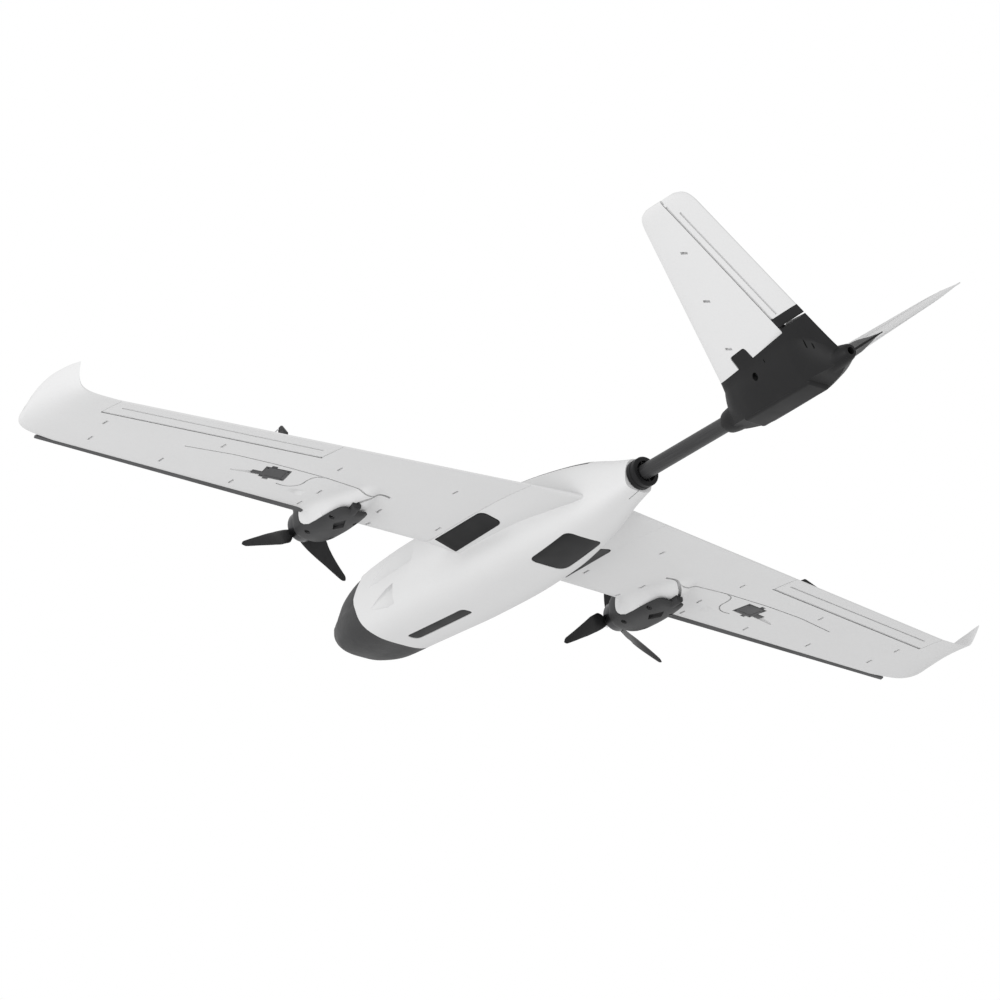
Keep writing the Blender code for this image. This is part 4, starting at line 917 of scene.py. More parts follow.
# Long channel high on each side of the nose: Y, lower edge, upper edge, depth.
CHANNEL = ((-176.0, 12.5, 14.5, 0.4), (-170.0, 12.2, 19.0, 3.6), (-155.0, 12.4, 29.0, 7.0),
           (-135.0, 12.8, 35.0, 7.4), (-118.0, 13.0, 36.0, 5.2), (-104.0, 13.2, 34.0, 0.4))
# Cheek intake: Y, middle height, half height, depth.
INTAKE = ((-173.0, -10.4, 0.4, 0.2), (-165.0, -10.0, 3.4, 1.8), (-155.0, -9.4, 6.6, 4.2),
          (-145.0, -8.8, 9.0, 6.8), (-135.5, -8.2, 9.8, 8.3))


def hatch_outline(grow):
    w = HATCH_HALF_WIDTH + grow
    front, back = HATCH_YS[0] - grow, HATCH_YS[1] + grow
    corners = [(-w, front + 34), (-w * 0.62, front), (w * 0.62, front), (w, front + 34),
               (w, back), (-w, back)]
    return round_corners(corners, 12.0)


def bumper_profile(grow):
    """Side view (Y, Z) of the region that the nose bumper covers."""
    back = [(-184.0, -60.0), (-188.0, -26.0), (-204.0, 6.0), (-205.5, 12.0), (-200.0, 30.0),
            (-209.0, 44.0), (-212.0, 70.0)]
    return [(-310.0, -60.0)] + [(y + grow, z) for y, z in back] + [(-310.0, 70.0)]


def fillet_share(s):
    """How the root fillet's depth varies along the chord."""
    return (1 - s) ** 0.4 * min(1.0, s * 9)


def stub_ring(x):
    """Wing centre section with a fillet that deepens towards the pod."""
    a = abs(x)
    drop = smooth_at(ROOT_DROP, a)[0]
    z = under_z(a)
    chord = te_y(a) - le_y(a)
    ring = []
    for px, py, pz in wing_section((x, le_y(a), z), (x, te_y(a), z)):
        s = min(1.0, max(0.0, (py - le_y(a)) / chord))
        low = z + section_low(s, chord)
        blend = max(0.0, 1 - (pz - low) / (0.5 * WING_THICKNESS * chord))
        ring.append((px, py, pz - drop * blend * fillet_share(s)))
    return ring


def belly_frame(ys, depth):
    """Plane along the sloping belly between two stations, raised from its skin by depth."""
    front, back = ys
    low_front, low_back = smooth_at(POD, front)[1], smooth_at(POD, back)[1]
    return frame_matrix((0, (front + back) / 2, (low_front + low_back) / 2 + depth), (1, 0, 0),
                        (0, back - front, low_back - low_front))


def belly_outline(panel, grow):
    """Rounded rectangle of a panel under the belly, about the middle of its stations."""
    half_width, (front, back), corner = panel
    w = half_width + grow
    half = (back - front) / 2 + grow
    return round_corners([(-w, -half), (w, -half), (w, half), (-w, half)], corner)


def belly_block(name, panel, grow, depth):
    """A block with a belly panel's outline, from depth inside the skin to well below it."""
    return prism(name, belly_outline(panel, grow), 20.0, belly_frame(panel[1], depth - 10.0))


def root_under(x, y):
    """Underside of the filleted centre section at a plan point."""
    chord = te_y(x) - le_y(x)
    s = (y - le_y(x)) / chord
    drop = smooth_at(ROOT_DROP, x)[0]
    return under_z(x) + section_low(s, chord) - drop * fillet_share(s)


def root_panel(name, grow, proud):
    """Thin plate that follows the fillet under the port wing root, rounded at its rear."""
    y0, y1 = ROOT_PANEL_YS[0] - grow, ROOT_PANEL_YS[1] + grow
    x0, x1 = ROOT_PANEL_XS[0] - grow, ROOT_PANEL_XS[1] + grow
    rings = []
    for y in spread(y0, y1 - 7.0, 5.0) + [y1 - 5.2, y1 - 3.5, y1 - 2.0, y1 - 0.9, y1 - 0.2, y1]:
        past = max(0.0, (y - (y1 - 7.0)) / 7.0)
        tuck = 6.5 * (1 - math.sqrt(max(0.0, 1 - past ** 2)))
        xs = [x0 + tuck + (x1 - x0 - 2 * tuck) * k / 8 for k in range(9)]
        low = [(x, y, root_under(x, y) - proud) for x in xs]
        high = [(x, y, root_under(x, y) + 2.4 + grow) for x in reversed(xs)]
        rings.append(low + high)
    return loft(name, rings)


def intake_cutter(name, side):
    """Arrow-headed scoop that deepens aft, with a steep rear wall."""
    rings = []
    for y in spread(INTAKE[0][0], INTAKE[-1][0], 2.0):
        z, half, deep = smooth_at(INTAKE, y)
        skin = []
        for k in range(13):
            angle = math.pi * k / 12
            height = z - half * math.cos(angle)
            skin.append(((pod_side_x(y, height) - deep * math.sin(angle) ** 0.45) * side, y, height))
        rings.append(skin + [(OUTSIDE_X * side, py, pz) for px, py, pz in reversed(skin)])
    return loft(name, rings)


def channel_cutter(name, side):
    """Channel with a crisp lower edge that fades out upwards."""
    rings = []
    for y in spread(CHANNEL[0][0], CHANNEL[-1][0], 3.0):
        low, high, deep = smooth_at(CHANNEL, y)
        skin = []
        for k in range(13):
            t = k / 12
            z = low + (high - low) * t
            fall = min(1.0, t * 8) * (1 - t) ** 0.8 * 1.1
            skin.append(((pod_side_x(y, z) + 0.05 - deep * fall) * side, y, z))
        rings.append(skin + [(OUTSIDE_X * side, py, pz) for px, py, pz in reversed(skin)])
    return loft(name, rings)


def deck_cover(name, grow, depth, lift):
    """Strip of the pod's skin on the rear deck, narrowing aft."""
    y0, y1 = DECK_YS[0] - grow, DECK_YS[1] + grow
    rings = []
    for t in [k / 24 for k in range(25)]:
        y = y0 + (y1 - y0) * t
        half_width, low, high = smooth_at(POD, y)
        centre = low + (high - low) * WIDEST
        reach = (30.0 - 15.0 * t) + grow
        ring = []
        for k in range(-10, 11):
            x = reach * k / 10
            ratio = min(1.0, abs(x) / half_width)
            z = centre + (high - centre) * (1 - ratio ** SQUARE_ABOVE) ** (1 / SQUARE_ABOVE)
            ring.append((x, y, z + lift))
        rings.append(ring + [(x, y, z - lift - depth) for x, y, z in reversed(ring)])
    return loft(name, rings)


def make_fuselage():
    shell = loft("shell", pod_rings())
    stub_xs = (spread(-WING_JOINT_X, -49.0, 4.0) + spread(-44.0, 44.0, 8.0)
               + spread(49.0, WING_JOINT_X, 4.0))
    join(shell, loft("stub", [stub_ring(x) for x in stub_xs]))
    cutters = [loft("bay", pod_rings(WALL, -230.0, 130.0, 10.0)),
               prism("hatch_hole", hatch_outline(GAP), 80.0, at_height(60.0)),
               side_prism("bumper_region", bumper_profile(GAP), 60.0),
               belly_block("skid_recess", SKID, GAP, RECESS),
               belly_block("window_recess", WINDOW, GAP, RECESS),
               rod("boom_bore", (0, BOOM_START_Y - 1, BOOM_Z), (0, 200, BOOM_Z), BOOM_RADIUS + GAP, 48),
               rod("collar_bore", (0, COLLAR_YS[0] - GAP, BOOM_Z), (0, 200, BOOM_Z),
                   COLLAR_RADIUS + GAP, 48),
               rod("spar_bore", (-90, SPAR_Y, SPAR_Z), (90, SPAR_Y, SPAR_Z), SPAR_RADIUS + GAP),
               deck_cover("deck_recess", GAP, 2.2, 5.0),
               box("seam", (-0.5, 166.0, -25.0), (0.5, 200.0, -12.0))]
    for side in (1, -1):
        cutters.append(intake_cutter("intake", side))
        cutters.append(channel_cutter("channel", side))
    panel = root_panel("root_recess", GAP, 6.0)
    cutters.append(mirrored(panel))
    cutters.append(panel)
    carve(shell, *cutters, smooth_angle=38.0)
    show(shell, "fuselage_shell", "airframe", FOAM)

    hatch = loft("hatch", pod_rings(0.0, -215.0, -15.0))
    carve(hatch, prism("hatch_region", hatch_outline(0.0), 60.0, at_height(60.0)),
          operation="INTERSECT")
    carve(hatch, loft("hatch_inside", pod_rings(WALL, -230.0, 130.0, 10.0)))
    show(soften(hatch, 0.5, 2, 50.0), "battery_hatch", "hatch", FOAM)

    bumper = loft("bumper", pod_rings(0.0, -280.0, -170.0, 3.0))
    for vert in bumper.data.vertices:
        x, y, z = vert.co / MM - DATUM
        above = ease(-0.6, 1.4, z - smooth_at(BUMPER_CREASE, y)[0])
        vert.co.x -= math.copysign(CREASE_STEP * MM * above * ease(1.0, 12.0, abs(x)), x)
    carve(bumper, side_prism("bumper_keep", bumper_profile(0.0), 60.0), operation="INTERSECT")
    carve(bumper, loft("bumper_inside", pod_rings(3.0, -274.0, -180.0, 6.0)))
    show(bumper, "nose_bumper", "airframe", BUMPER)


def make_centre():
    for node, place_of in (("belly_skid", SKID), ("belly_window_cover", WINDOW)):
        panel = belly_block(node, place_of, 0.0, RECESS - GAP)
        carve(panel, loft("skin", pod_rings(0.4, -180.0, 130.0)), operation="INTERSECT")
        show(soften(panel, 0.7, 3), node, "airframe", PLATE)
    show(soften(deck_cover("deck", 0.0, 1.6, 0.25), 0.4), "rear_deck_cover", "airframe", STRIP)
    show_pair(soften(root_panel("root_panel", 0.0, 0.5), 0.5), "wing_root_panel_%s", "airframe", PLATE)

    length = BOOM_END_Y - BOOM_START_Y
    boom = turned("boom", [(6.0, length - 0.3), (6.3, length), (BOOM_RADIUS - 0.3, length),
                           (BOOM_RADIUS, length - 0.3), (BOOM_RADIUS, 0.3), (BOOM_RADIUS - 0.3, 0.0),
                           (6.3, 0.0), (6.0, 0.3)], (0, BOOM_START_Y, BOOM_Z), (0, 1, 0))
    show(boom, "tail_boom", "airframe", BOOM)
    inner = BOOM_RADIUS + GAP
    length = COLLAR_YS[1] - COLLAR_YS[0]
    step, wide = COLLAR_FLANGE[0] - COLLAR_YS[0], COLLAR_FLANGE[1]
    collar = turned("collar", [(inner + 2.4, length), (wide - 0.8, length),
                               (wide, length - 0.8), (wide, length - 5.0),
                               (wide - 0.5, length - 5.4), (wide - 0.5, length - 6.4),
                               (wide, length - 6.8), (wide, step + 0.5), (wide - 0.5, step),
                               (COLLAR_RADIUS, step), (COLLAR_RADIUS, 0.4),
                               (COLLAR_RADIUS - 0.4, 0.0), (inner, 0.0), (inner, length - 5.0),
                               (inner + 2.4, length - 4.6)],
                    (0, COLLAR_YS[0], BOOM_Z), (0, 1, 0))
    ribs = []
    for k in range(6):
        angle = 2 * math.pi * k / 6
        spot = Vector((math.cos(angle) * (inner + 1.9), 0, math.sin(angle) * (inner + 1.9)))
        turn = Matrix.Rotation(-angle, 3, "Y")
        middle = Vector((0, COLLAR_YS[1] - 3.4, BOOM_Z)) + spot
        ribs.append(block("rib", middle, (1.6, 2.4, 0.8), turn))
    show(join(collar, *ribs), "boom_collar", "airframe", PLATE)


# ---------------------------------------------------------------- equipment

def make_equipment():
    tray = box("tray", (-22.0, -172.0, -17.5), (22.0, -12.0, -15.5))
    join(tray, box("pad", (-18.0, -91.0, -16.0), (18.0, -71.0, -14.3)))
    slots = [box("slot", (x - 1.2, y - 9.0, -20.0), (x + 1.2, y + 9.0, -13.0))
             for x in (-19.8, 19.8) for y in (-150.0, -112.0, -55.0)]
    show(soften(carve(tray, *slots), 0.3), "equipment_tray", "airframe", PLATE)

    battery = soften(box("battery", (-17.0, -170.0, -15.2), (17.0, -94.0, 7.8)), 3.4, 5)
    bands = [box("band", (-18.0, y, -16.0), (18.0, y + 0.7, 9.0)) for y in (-160.0, -104.0)]
    inset = soften(box("core", (-16.7, -169.7, -14.9), (16.7, -94.3, 7.5)), 3.2, 5)
    carve(battery, *bands)
    show(join(battery, inset), "battery", "airframe", PACK)

    for node, low, high in (("flight_controller", (-18.0, -68.0, -15.2), (18.0, -32.0, -5.2)),
                            ("receiver", (-9.0, -29.0, -15.2), (9.0, -16.0, -9.5))):
        board = box(node, low, (high[0], high[1], low[2] + 1.6))
        middle = [(a + b) / 2 for a, b in zip(low, high)]
        wide, long = high[0] - low[0], high[1] - low[1]
        chip = box("chip", (middle[0] - wide * 0.2, middle[1] - long * 0.2, low[2] + 1.4),
                   (middle[0] + wide * 0.2, middle[1] + long * 0.2, low[2] + 3.2))
        plugs = [box("plug", (middle[0] - wide * 0.4, y - long * 0.09, low[2] + 1.4),
                     (middle[0] + wide * 0.4, y + long * 0.09, high[2] - 0.2))
                 for y in (low[1] + long * 0.11, high[1] - long * 0.11)]
        show(soften(join(board, chip, *plugs), 0.25), node, "airframe", BOARD)


# ---------------------------------------------------------------- wing pieces

# Nacelle stations: Y, half width, bottom Z, top Z.
NACELLE = (
    (-77.0, 17.5, -11.8, 23.2),
    (-72.0, 19.6, -13.2, 24.6),
    (-60.0, 21.0, -14.6, 23.0),
    (-44.0, 21.0, -15.0, 20.0),
    (-24.0, 19.0, -15.0, 15.0),
    (-7.0, 15.8, -14.4, 9.0),
    (6.0, 9.8, -9.0, 6.0),
    (20.0, 3.0, -2.6, 4.0),
)
# Side view (Y, Z) that rounds the cover's rear end.
COVER_REAR = ((-120.0, 40.0), (-1.4, 40.0), (-1.4, -10.6), (-2.0, -12.0), (-3.8, -13.3), (-7.4, -14.3),
              (-14.0, -15.0), (-20.0, -15.6), (-30.0, -18.0), (-120.0, -40.0))
# The wing's foam behind the cover is shallower, so that the cover's rounded end stands proud.
NACELLE_FOAM = NACELLE[:4] + (
    (-24.0, 19.0, -12.8, 15.0),
    (-7.0, 14.0, -9.6, 9.0),
    (6.0, 9.0, -6.4, 6.0),
    (20.0, 3.0, -2.6, 4.0),
)
NACELLE_SIDES = 72
# Radius of the fillet between nacelle and wing, stations between which it fades out, and how
# many times the search for its surface halves the interval.
FLARE = 9.0
FLARE_YS = (16.0, 32.0)
HALVINGS = 26


def nacelle_ring(y, inset=0.0):
    half_width, low, high = smooth_at(NACELLE, y)
    half_width, low, high = half_width - inset, low + inset, high - inset
    centre = (low + high) / 2
    ring = []
    for k in range(NACELLE_SIDES):
        angle = 2 * math.pi * k / NACELLE_SIDES
        c, s = math.cos(angle), math.sin(angle)
        power = 0.88 if s > 0 else 0.68
        ring.append((MOTOR_X + math.copysign(abs(c) ** power, c) * half_width, y,
                     centre + math.copysign(abs(s) ** power, s) * (high - low) / 2))
    return ring


def nacelle_rings(inset=0.0, first=-77.0, last=20.0, step=2.5):
    return [nacelle_ring(y, inset) for y in spread(first, last, step)]


def beyond_nacelle(x, y, z):
    """About how far a point lies outside the nacelle's skin."""
    half_width, low, high = smooth_at(NACELLE_FOAM, y)
    centre, reach = (low + high) / 2, (high - low) / 2
    u = abs(x - MOTOR_X) / half_width
    v = abs(z - centre) / reach
    power = 2 / (0.88 if z > centre else 0.68)
    return ((u ** power + v ** power) ** (1 / power) - 1) * min(half_width, reach)


def swollen(x, y, z, down):
    """Moves a point of the wing's skin out on to a flared blend of wing and nacelle."""
    end = smooth_at(NACELLE_FOAM, y)[0]
    if abs(x - MOTOR_X) > end + 3 * FLARE or y > FLARE_YS[1] + 2.0:
        return z
    fade = 1 - ease(*FLARE_YS, y)
    inside, outside = 0.0, 30.0
    for _ in range(HALVINGS):
        middle = (inside + outside) / 2
        nacelle = beyond_nacelle(x, min(y, 19.9), z + down * middle)
        gap = max(FLARE - abs(nacelle - middle), 0.0) / FLARE
        if min(nacelle, middle) - gap * gap * FLARE / 4 < 0:
            inside = middle
        else:
            outside = middle
    return z + down * inside * fade


def wing_rings():
    xs = (spread(WING_JOINT_X + GAP, 128.0, 11.0) + spread(130.0, 216.0, 2.0)
          + spread(222.0, TIP_START_X, 11.0))
    rings = []
    for x in xs:
        ring = panel_ring(x)
        top_count = len(ring) // 2
        if abs(x - MOTOR_X) < 48.0:
            ring = [(px, py, swollen(px, py, pz, 1 if i < top_count else -1)) for i, (px, py, pz)
                    in enumerate(ring)]
        rings.append(ring)
    return rings + [tip_ring(t) for t in spread(4.0, 56.0, 2.6)]


def link_frame():
    """Directions of the aileron linkage: along the hinge, across it (aft), and up."""
    (inner, _), (outer, _) = hinge_points()
    along = (outer - inner).normalized()
    aft = Vector((0, 0, 1)).cross(along).normalized()
    return along, aft, along.cross(aft).normalized()


def on_hinge(x):
    (inner, _), (outer, _) = hinge_points()
    return inner.lerp(outer, (x - AILERON_IN[0]) / (AILERON_OUT[0] - AILERON_IN[0]))


def link_points():
    """Horn pivot, arm pivot and servo shaft centre."""
    along, aft, up = link_frame()
    hinge = on_hinge(HORN_X)
    shaft = hinge - aft * LINK_SPAN
    shaft.z = SERVO_AXIS_Z
    return hinge + up * LINK_RADIUS, shaft + up * LINK_RADIUS, shaft


def turn_matrix():
    along, aft, up = link_frame()
    return Matrix((along, aft, up)).transposed()


def servo_centre():
    along, aft, up = link_frame()
    back, side, down = SERVO_SHIFT
    return link_points()[2] - along * (SERVO_SIZE[0] / 2 + back) - aft * side - up * down


def servo_box(name, grow):
    half = Vector(SERVO_SIZE) / 2 + Vector((grow, grow, grow))
    return block(name, servo_centre(), half, turn_matrix())


def gear_box(name, grow, depth):
    """Gear end of the servo, beyond its case on the forward side; it opens downwards by depth."""
    along, aft, up = link_frame()
    length, width, thickness = GEAR_END
    half = Vector((length / 2 + grow, width / 2 + grow, (thickness + grow + depth) / 2))
    drop = SERVO_SIZE[2] / 2 - thickness - grow + half.z
    middle = servo_centre() + along * GEAR_PLACE[0] + aft * GEAR_PLACE[1] - up * drop
    return block(name, middle, half, turn_matrix())


def aileron_prism(name, end_shift):
    (xi, yi), (xo, yo) = AILERON_IN, AILERON_OUT
    inner, outer = xi + end_shift, xo - end_shift * 0.5
    slope = (yo - yi) / (xo - xi)
    points = [(inner, yi + (inner - xi) * slope), (outer, yi + (outer - xi) * slope),
              (outer, 140.0), (inner, 140.0)]
    return prism(name, points, 60.0, at_height(10.0))


def cover_profile(grow):
    """Side view (Y, Z) of the dark cover: a ring behind the motor and a shallow tray."""
    corner = [(-63.0, 40.0), (-63.0, 2.0), (-62.2, -3.2), (-60.4, -6.2), (-57.4, -8.4), (-51.0, -10.2),
              (-40.0, -10.6), (-28.0, -10.2), (-14.0, -9.8), (-1.0, -9.4), (-1.0, -40.0)]
    moved = [(y + grow * 0.7, z + grow * 0.7) for y, z in corner]
    return [(-120.0, 40.0)] + moved + [(-120.0, -40.0)]


EDGE_XS = (196.0, 462.0)
# Fractions of the chord that the strip covers, and its lip from the leading edge (Y, Z).
EDGE_FRACTIONS = (0.004, 0.032)
EDGE_LIP = (-0.5, 0.9)


def edge_strip(name, grow, hole):
    """Hard strip let into the lower lip of the leading edge, outboard of the nacelle."""
    rings = []
    for x in spread(EDGE_XS[0] - grow, EDGE_XS[1] + grow, 14.0):
        chord = te_y(x) - le_y(x)
        z = under_z(x)
        front, back = EDGE_FRACTIONS
        a = (le_y(x) + chord * front, z + section_low(front, chord))
        b = (le_y(x) + chord * back + grow, z + section_low(back, chord) - GAP)
        lip = (le_y(x) + EDGE_LIP[0], z + EDGE_LIP[1])
        if hole:
            outline = [(a[0] - 3.0, a[1] + grow), (a[0] - 3.0, b[1] - 3.0), (b[0], b[1] - 3.0),
                       (b[0], b[1] + 1.5 + grow), (a[0] + 1.8, a[1] + 0.1 + grow)]
        else:
            outline = [(a[0] - 0.3, a[1]), (lip[0] - 0.2, lip[1] + 0.9), (lip[0], lip[1] + 0.3),
                       (lip[0] + 0.4, lip[1]), (b[0] - 0.3, b[1] - 0.1), (b[0], b[1] + 0.2),
                       (b[0], b[1] + 1.4), (a[0] + 1.8, a[1])]
        rings.append([(x, py, pz) for py, pz in outline])
    return loft(name, rings)


# Short slits under the wing: X, Y of their middles.
SLITS = ((430.1, -3.7), (424.3, -37.4), (352.4, -37.0), (324.2, 18.9), (280.4, -37.0),
         (218.3, 41.2), (206.6, -8.6), (208.5, -37.4), (143.5, -9.2), (136.2, -37.6),
         (80.5, -9.1), (112.0, 63.0))
SLIT_SIZE = (2.2, 8.4, 5.0)
DIMPLE = (222.5, -20.3)
# Wire grooves under the wing, as plan points.
GROOVES = {
    "lead_groove": ((350.6, -1.7), (307.2, 9.9), (266.0, 15.5), (218.4, 18.6), (166.5, 17.0)),
    "servo_groove": ((217.0, 18.6), (226.0, 15.0), (228.6, 5.0), (227.6, -6.0), (233.0, -14.0),
                     (240.0, -17.0), (247.0, -16.6)),
    "motor_groove": ((176.5, -4.0), (174.6, 4.3), (166.5, 16.4), (158.4, 19.8), (149.4, 18.1)),
}
# Radius of each groove, and of its bends.
GROOVE_RADII = {"lead_groove": (1.15, 6.0), "servo_groove": (1.15, 6.0), "motor_groove": (2.3, 9.0)}
ARM_GROOVE = ((269.0, -7.6), (294.7, -16.7))
GROOVE_STEP = 4.0
GROOVE_SUNK = 0.75


def under_groove(name, plan, radius, corner):
    """A wire groove that follows the skin under the wing, mostly sunk in it."""
    path = rounded_path([(x, y, wing_under(x, y)) for x, y in plan], corner)
    close = []
    for here, there in zip(path, path[1:]):
        steps = max(1, round((there - here).length / GROOVE_STEP))
        close += [here.lerp(there, k / steps) for k in range(steps)]
    sunk = radius * GROOVE_SUNK
    path = [Vector((p.x, p.y, swollen(p.x, p.y, wing_under(p.x, p.y), -1) + sunk))
            for p in close + [path[-1]]]
    return tube_along(name, path, radius)


def make_wing():
    wing = loft("wing", wing_rings(), PANEL_ANGLE)
    (inner, r_in), (outer, r_out) = hinge_points()
    form = loft("front_form", nacelle_rings(0.25, -77.0, -30.0))
    join(wing, form)
    axis = (outer - inner).normalized()
    along, aft, up = link_frame()
    shaft = link_points()[2]
    half_slot = Vector((3.2, 9.6, 0))
    boss_start, boss_end, boss_radius = LEAD_BOSS
    cutters = [
        side_prism("cover_region", cover_profile(GAP), 30.0, MOTOR_X),
        box("lead_pocket", (MOTOR_X - 9, -70, -10), (MOTOR_X + 9, -26, -1)),
        aileron_prism("aileron_hole", 0.0),
        rod("cove", inner - axis * 0.2, outer + axis * 0.2, r_in + HINGE_CLEARANCE, 48,
            r_out + HINGE_CLEARANCE),
        servo_box("servo_pocket", 0.5),
        rod("boss_bore", shaft - along * 8.0, shaft, 3.8),
        box("arm_slot", shaft - half_slot - Vector((0, 0, ARM_SLOT_DEPTH)),
            shaft + half_slot + Vector((0, 0, 20)), turn_matrix()),
        gear_box("gear_pocket", 0.35, 8.0),
        rod("boss_socket", boss_start, boss_end + (boss_end - boss_start).normalized() * GAP,
            boss_radius + GAP),
        rod("spar_bore", (60, SPAR_Y, SPAR_Z), (SPAR_HALF_LENGTH + 1, SPAR_Y, SPAR_Z),
            SPAR_RADIUS + GAP),
        edge_strip("edge_recess", GAP, True),
        *[under_groove(name, plan, *GROOVE_RADII[name]) for name, plan in GROOVES.items()],
        rod("arm_groove", *[(x, y, wing_under(x, y) + 0.3) for x, y in ARM_GROOVE], 3.6, 28, 1.0),
        tube_along("hinge_groove", [p - Vector((0, 0, r - 0.5)) for p, r in hinge_points()], 1.5),
        rod("dimple", (*DIMPLE, wing_under(*DIMPLE) - 1.0), (*DIMPLE, wing_under(*DIMPLE) + 0.9),
            6.2, 40, 3.4),
    ]
    spot = servo_centre() + along * 4.6 - up * (SERVO_SIZE[2] / 2 - 1.6)
    cutters.append(block("ear_pocket", spot, (2.8, SERVO_SIZE[1] / 2 + 3.6, 1.6), turn_matrix()))
    for x, y in SLITS:
        spot = Vector((x, y, swollen(x, y, wing_under(x, y), -1)))
        cutters.append(block("slit", spot, Vector(SLIT_SIZE) / 2))
    carve(wing, *cutters, smooth_angle=PANEL_ANGLE)
    show_pair(wing, "wing_%s", "airframe", FOAM)
    show_pair(edge_strip("strip", 0.0, False), "leading_edge_strip_%s", "airframe", STRIP)


def make_aileron():
    (inner, r_in), (outer, r_out) = hinge_points()
    axis = (outer - inner).normalized()
    flap = loft("flap", [panel_ring(x) for x in spread(WING_JOINT_X, TIP_START_X, 11.0)],
                PANEL_ANGLE)
    carve(flap, aileron_prism("region", AILERON_END_GAP), operation="INTERSECT",
          smooth_angle=PANEL_ANGLE)
    join(flap, rod("nose", inner + axis * 1.2, outer - axis * 0.8, r_in * 0.97, 48, r_out * 0.97))
    rib = tube_along("rib", [(x, y, wing_under(x, y) + 0.7) for x, y in AILERON_CREASE], 1.35)
    groove = tube_along("hinge_groove", [p - Vector((0, 0, r - 0.5)) for p, r in hinge_points()], 1.3)
    carve(flap, rib, groove, smooth_angle=PANEL_ANGLE)
    show_pair(flap, "aileron_%s", "aileron_%s", FOAM)

    along, aft, up = link_frame()
    horn, arm_pivot, shaft = link_points()
    hinge = on_hinge(HORN_X)
    surface = 2.6
    outline = [(1.0, surface + 1.5), (17.0, surface - 0.4), (17.4, surface + 1.6),
               (3.4, LINK_RADIUS + 2.6), (-2.6, LINK_RADIUS + 2.6), (-3.0, LINK_RADIUS - 1.6)]
    plate = prism("horn", round_corners(outline, 1.2, 4), 1.6, frame_matrix(hinge, aft, up))
    holes = [rod("hole", horn - along * 3, horn + along * 3, 0.9, 20)]
    show_pair(soften(carve(plate, *holes), 0.2), "aileron_horn_%s", "aileron_%s", NYLON)

    make_servo(along, aft, up, shaft)
    outline = [(-3.2, -3.0), (3.2, -3.0), (1.9, LINK_RADIUS + 1.8), (-1.9, LINK_RADIUS + 1.8)]
    arm = prism("arm", round_corners(outline, 2.2, 6), 1.5, frame_matrix(shaft, aft, up))
    holes = [rod("hole", shaft + up * r - along * 3, shaft + up * r + along * 3, size, 20)
             for r, size in ((LINK_RADIUS, 0.9), (10.8, 0.6), (7.4, 0.6))]
    show_pair(soften(carve(arm, *holes), 0.2), "servo_arm_%s", "servo_arm_%s", NYLON)

    step = along * 1.9
    path = rounded_path([arm_pivot - along * 0.9, arm_pivot + step, arm_pivot + step + aft * 3,
                         horn + step - aft * 3, horn + step, horn - along * 0.9], 0.9, 4)
    show_pair(tube_along("rod", path, 0.55, 16), "aileron_pushrod_%s", "pushrod_%s", STEEL)


def make_servo(along, aft, up, shaft):
    """Flat servo: case with screws, a label recess, a gear end, ears and a shaft boss."""
    case = soften(servo_box("case", 0.0), 0.9, 3)
    centre = servo_centre()
    low = -SERVO_SIZE[2] / 2
    turn = turn_matrix()
    cutters = []
    for u in (-9.4, 9.4):
        for v in (-8.2, 8.2):
            spot = centre + along * u + aft * v + up * low
            cutters.append(rod("screw", spot - up * 1.0, spot + up * 0.7, 1.0, 20))
    cutters.append(block("label_recess", centre + up * low, (8.0, 6.6, 0.25), turn))
    carve(case, *cutters)
    join(case, rod("boss", shaft - along * 8.0, shaft - along * 1.6, 3.4, 40))
    join(case, soften(gear_box("gear_end", 0.0, 0.0), 0.3))
    for v, reach in ((-1, 3.6), (1, 2.4)):
        spot = centre + along * 4.6 + aft * v * (SERVO_SIZE[1] / 2 + reach / 2 - 0.6) + up * (low + 1.6)
        join(case, soften(block("ear", spot, (2.4, reach / 2 + 0.6, 0.9), turn), 0.4))
    show_pair(case, "aileron_servo_%s", "airframe", SERVO)


# ---------------------------------------------------------------- power units

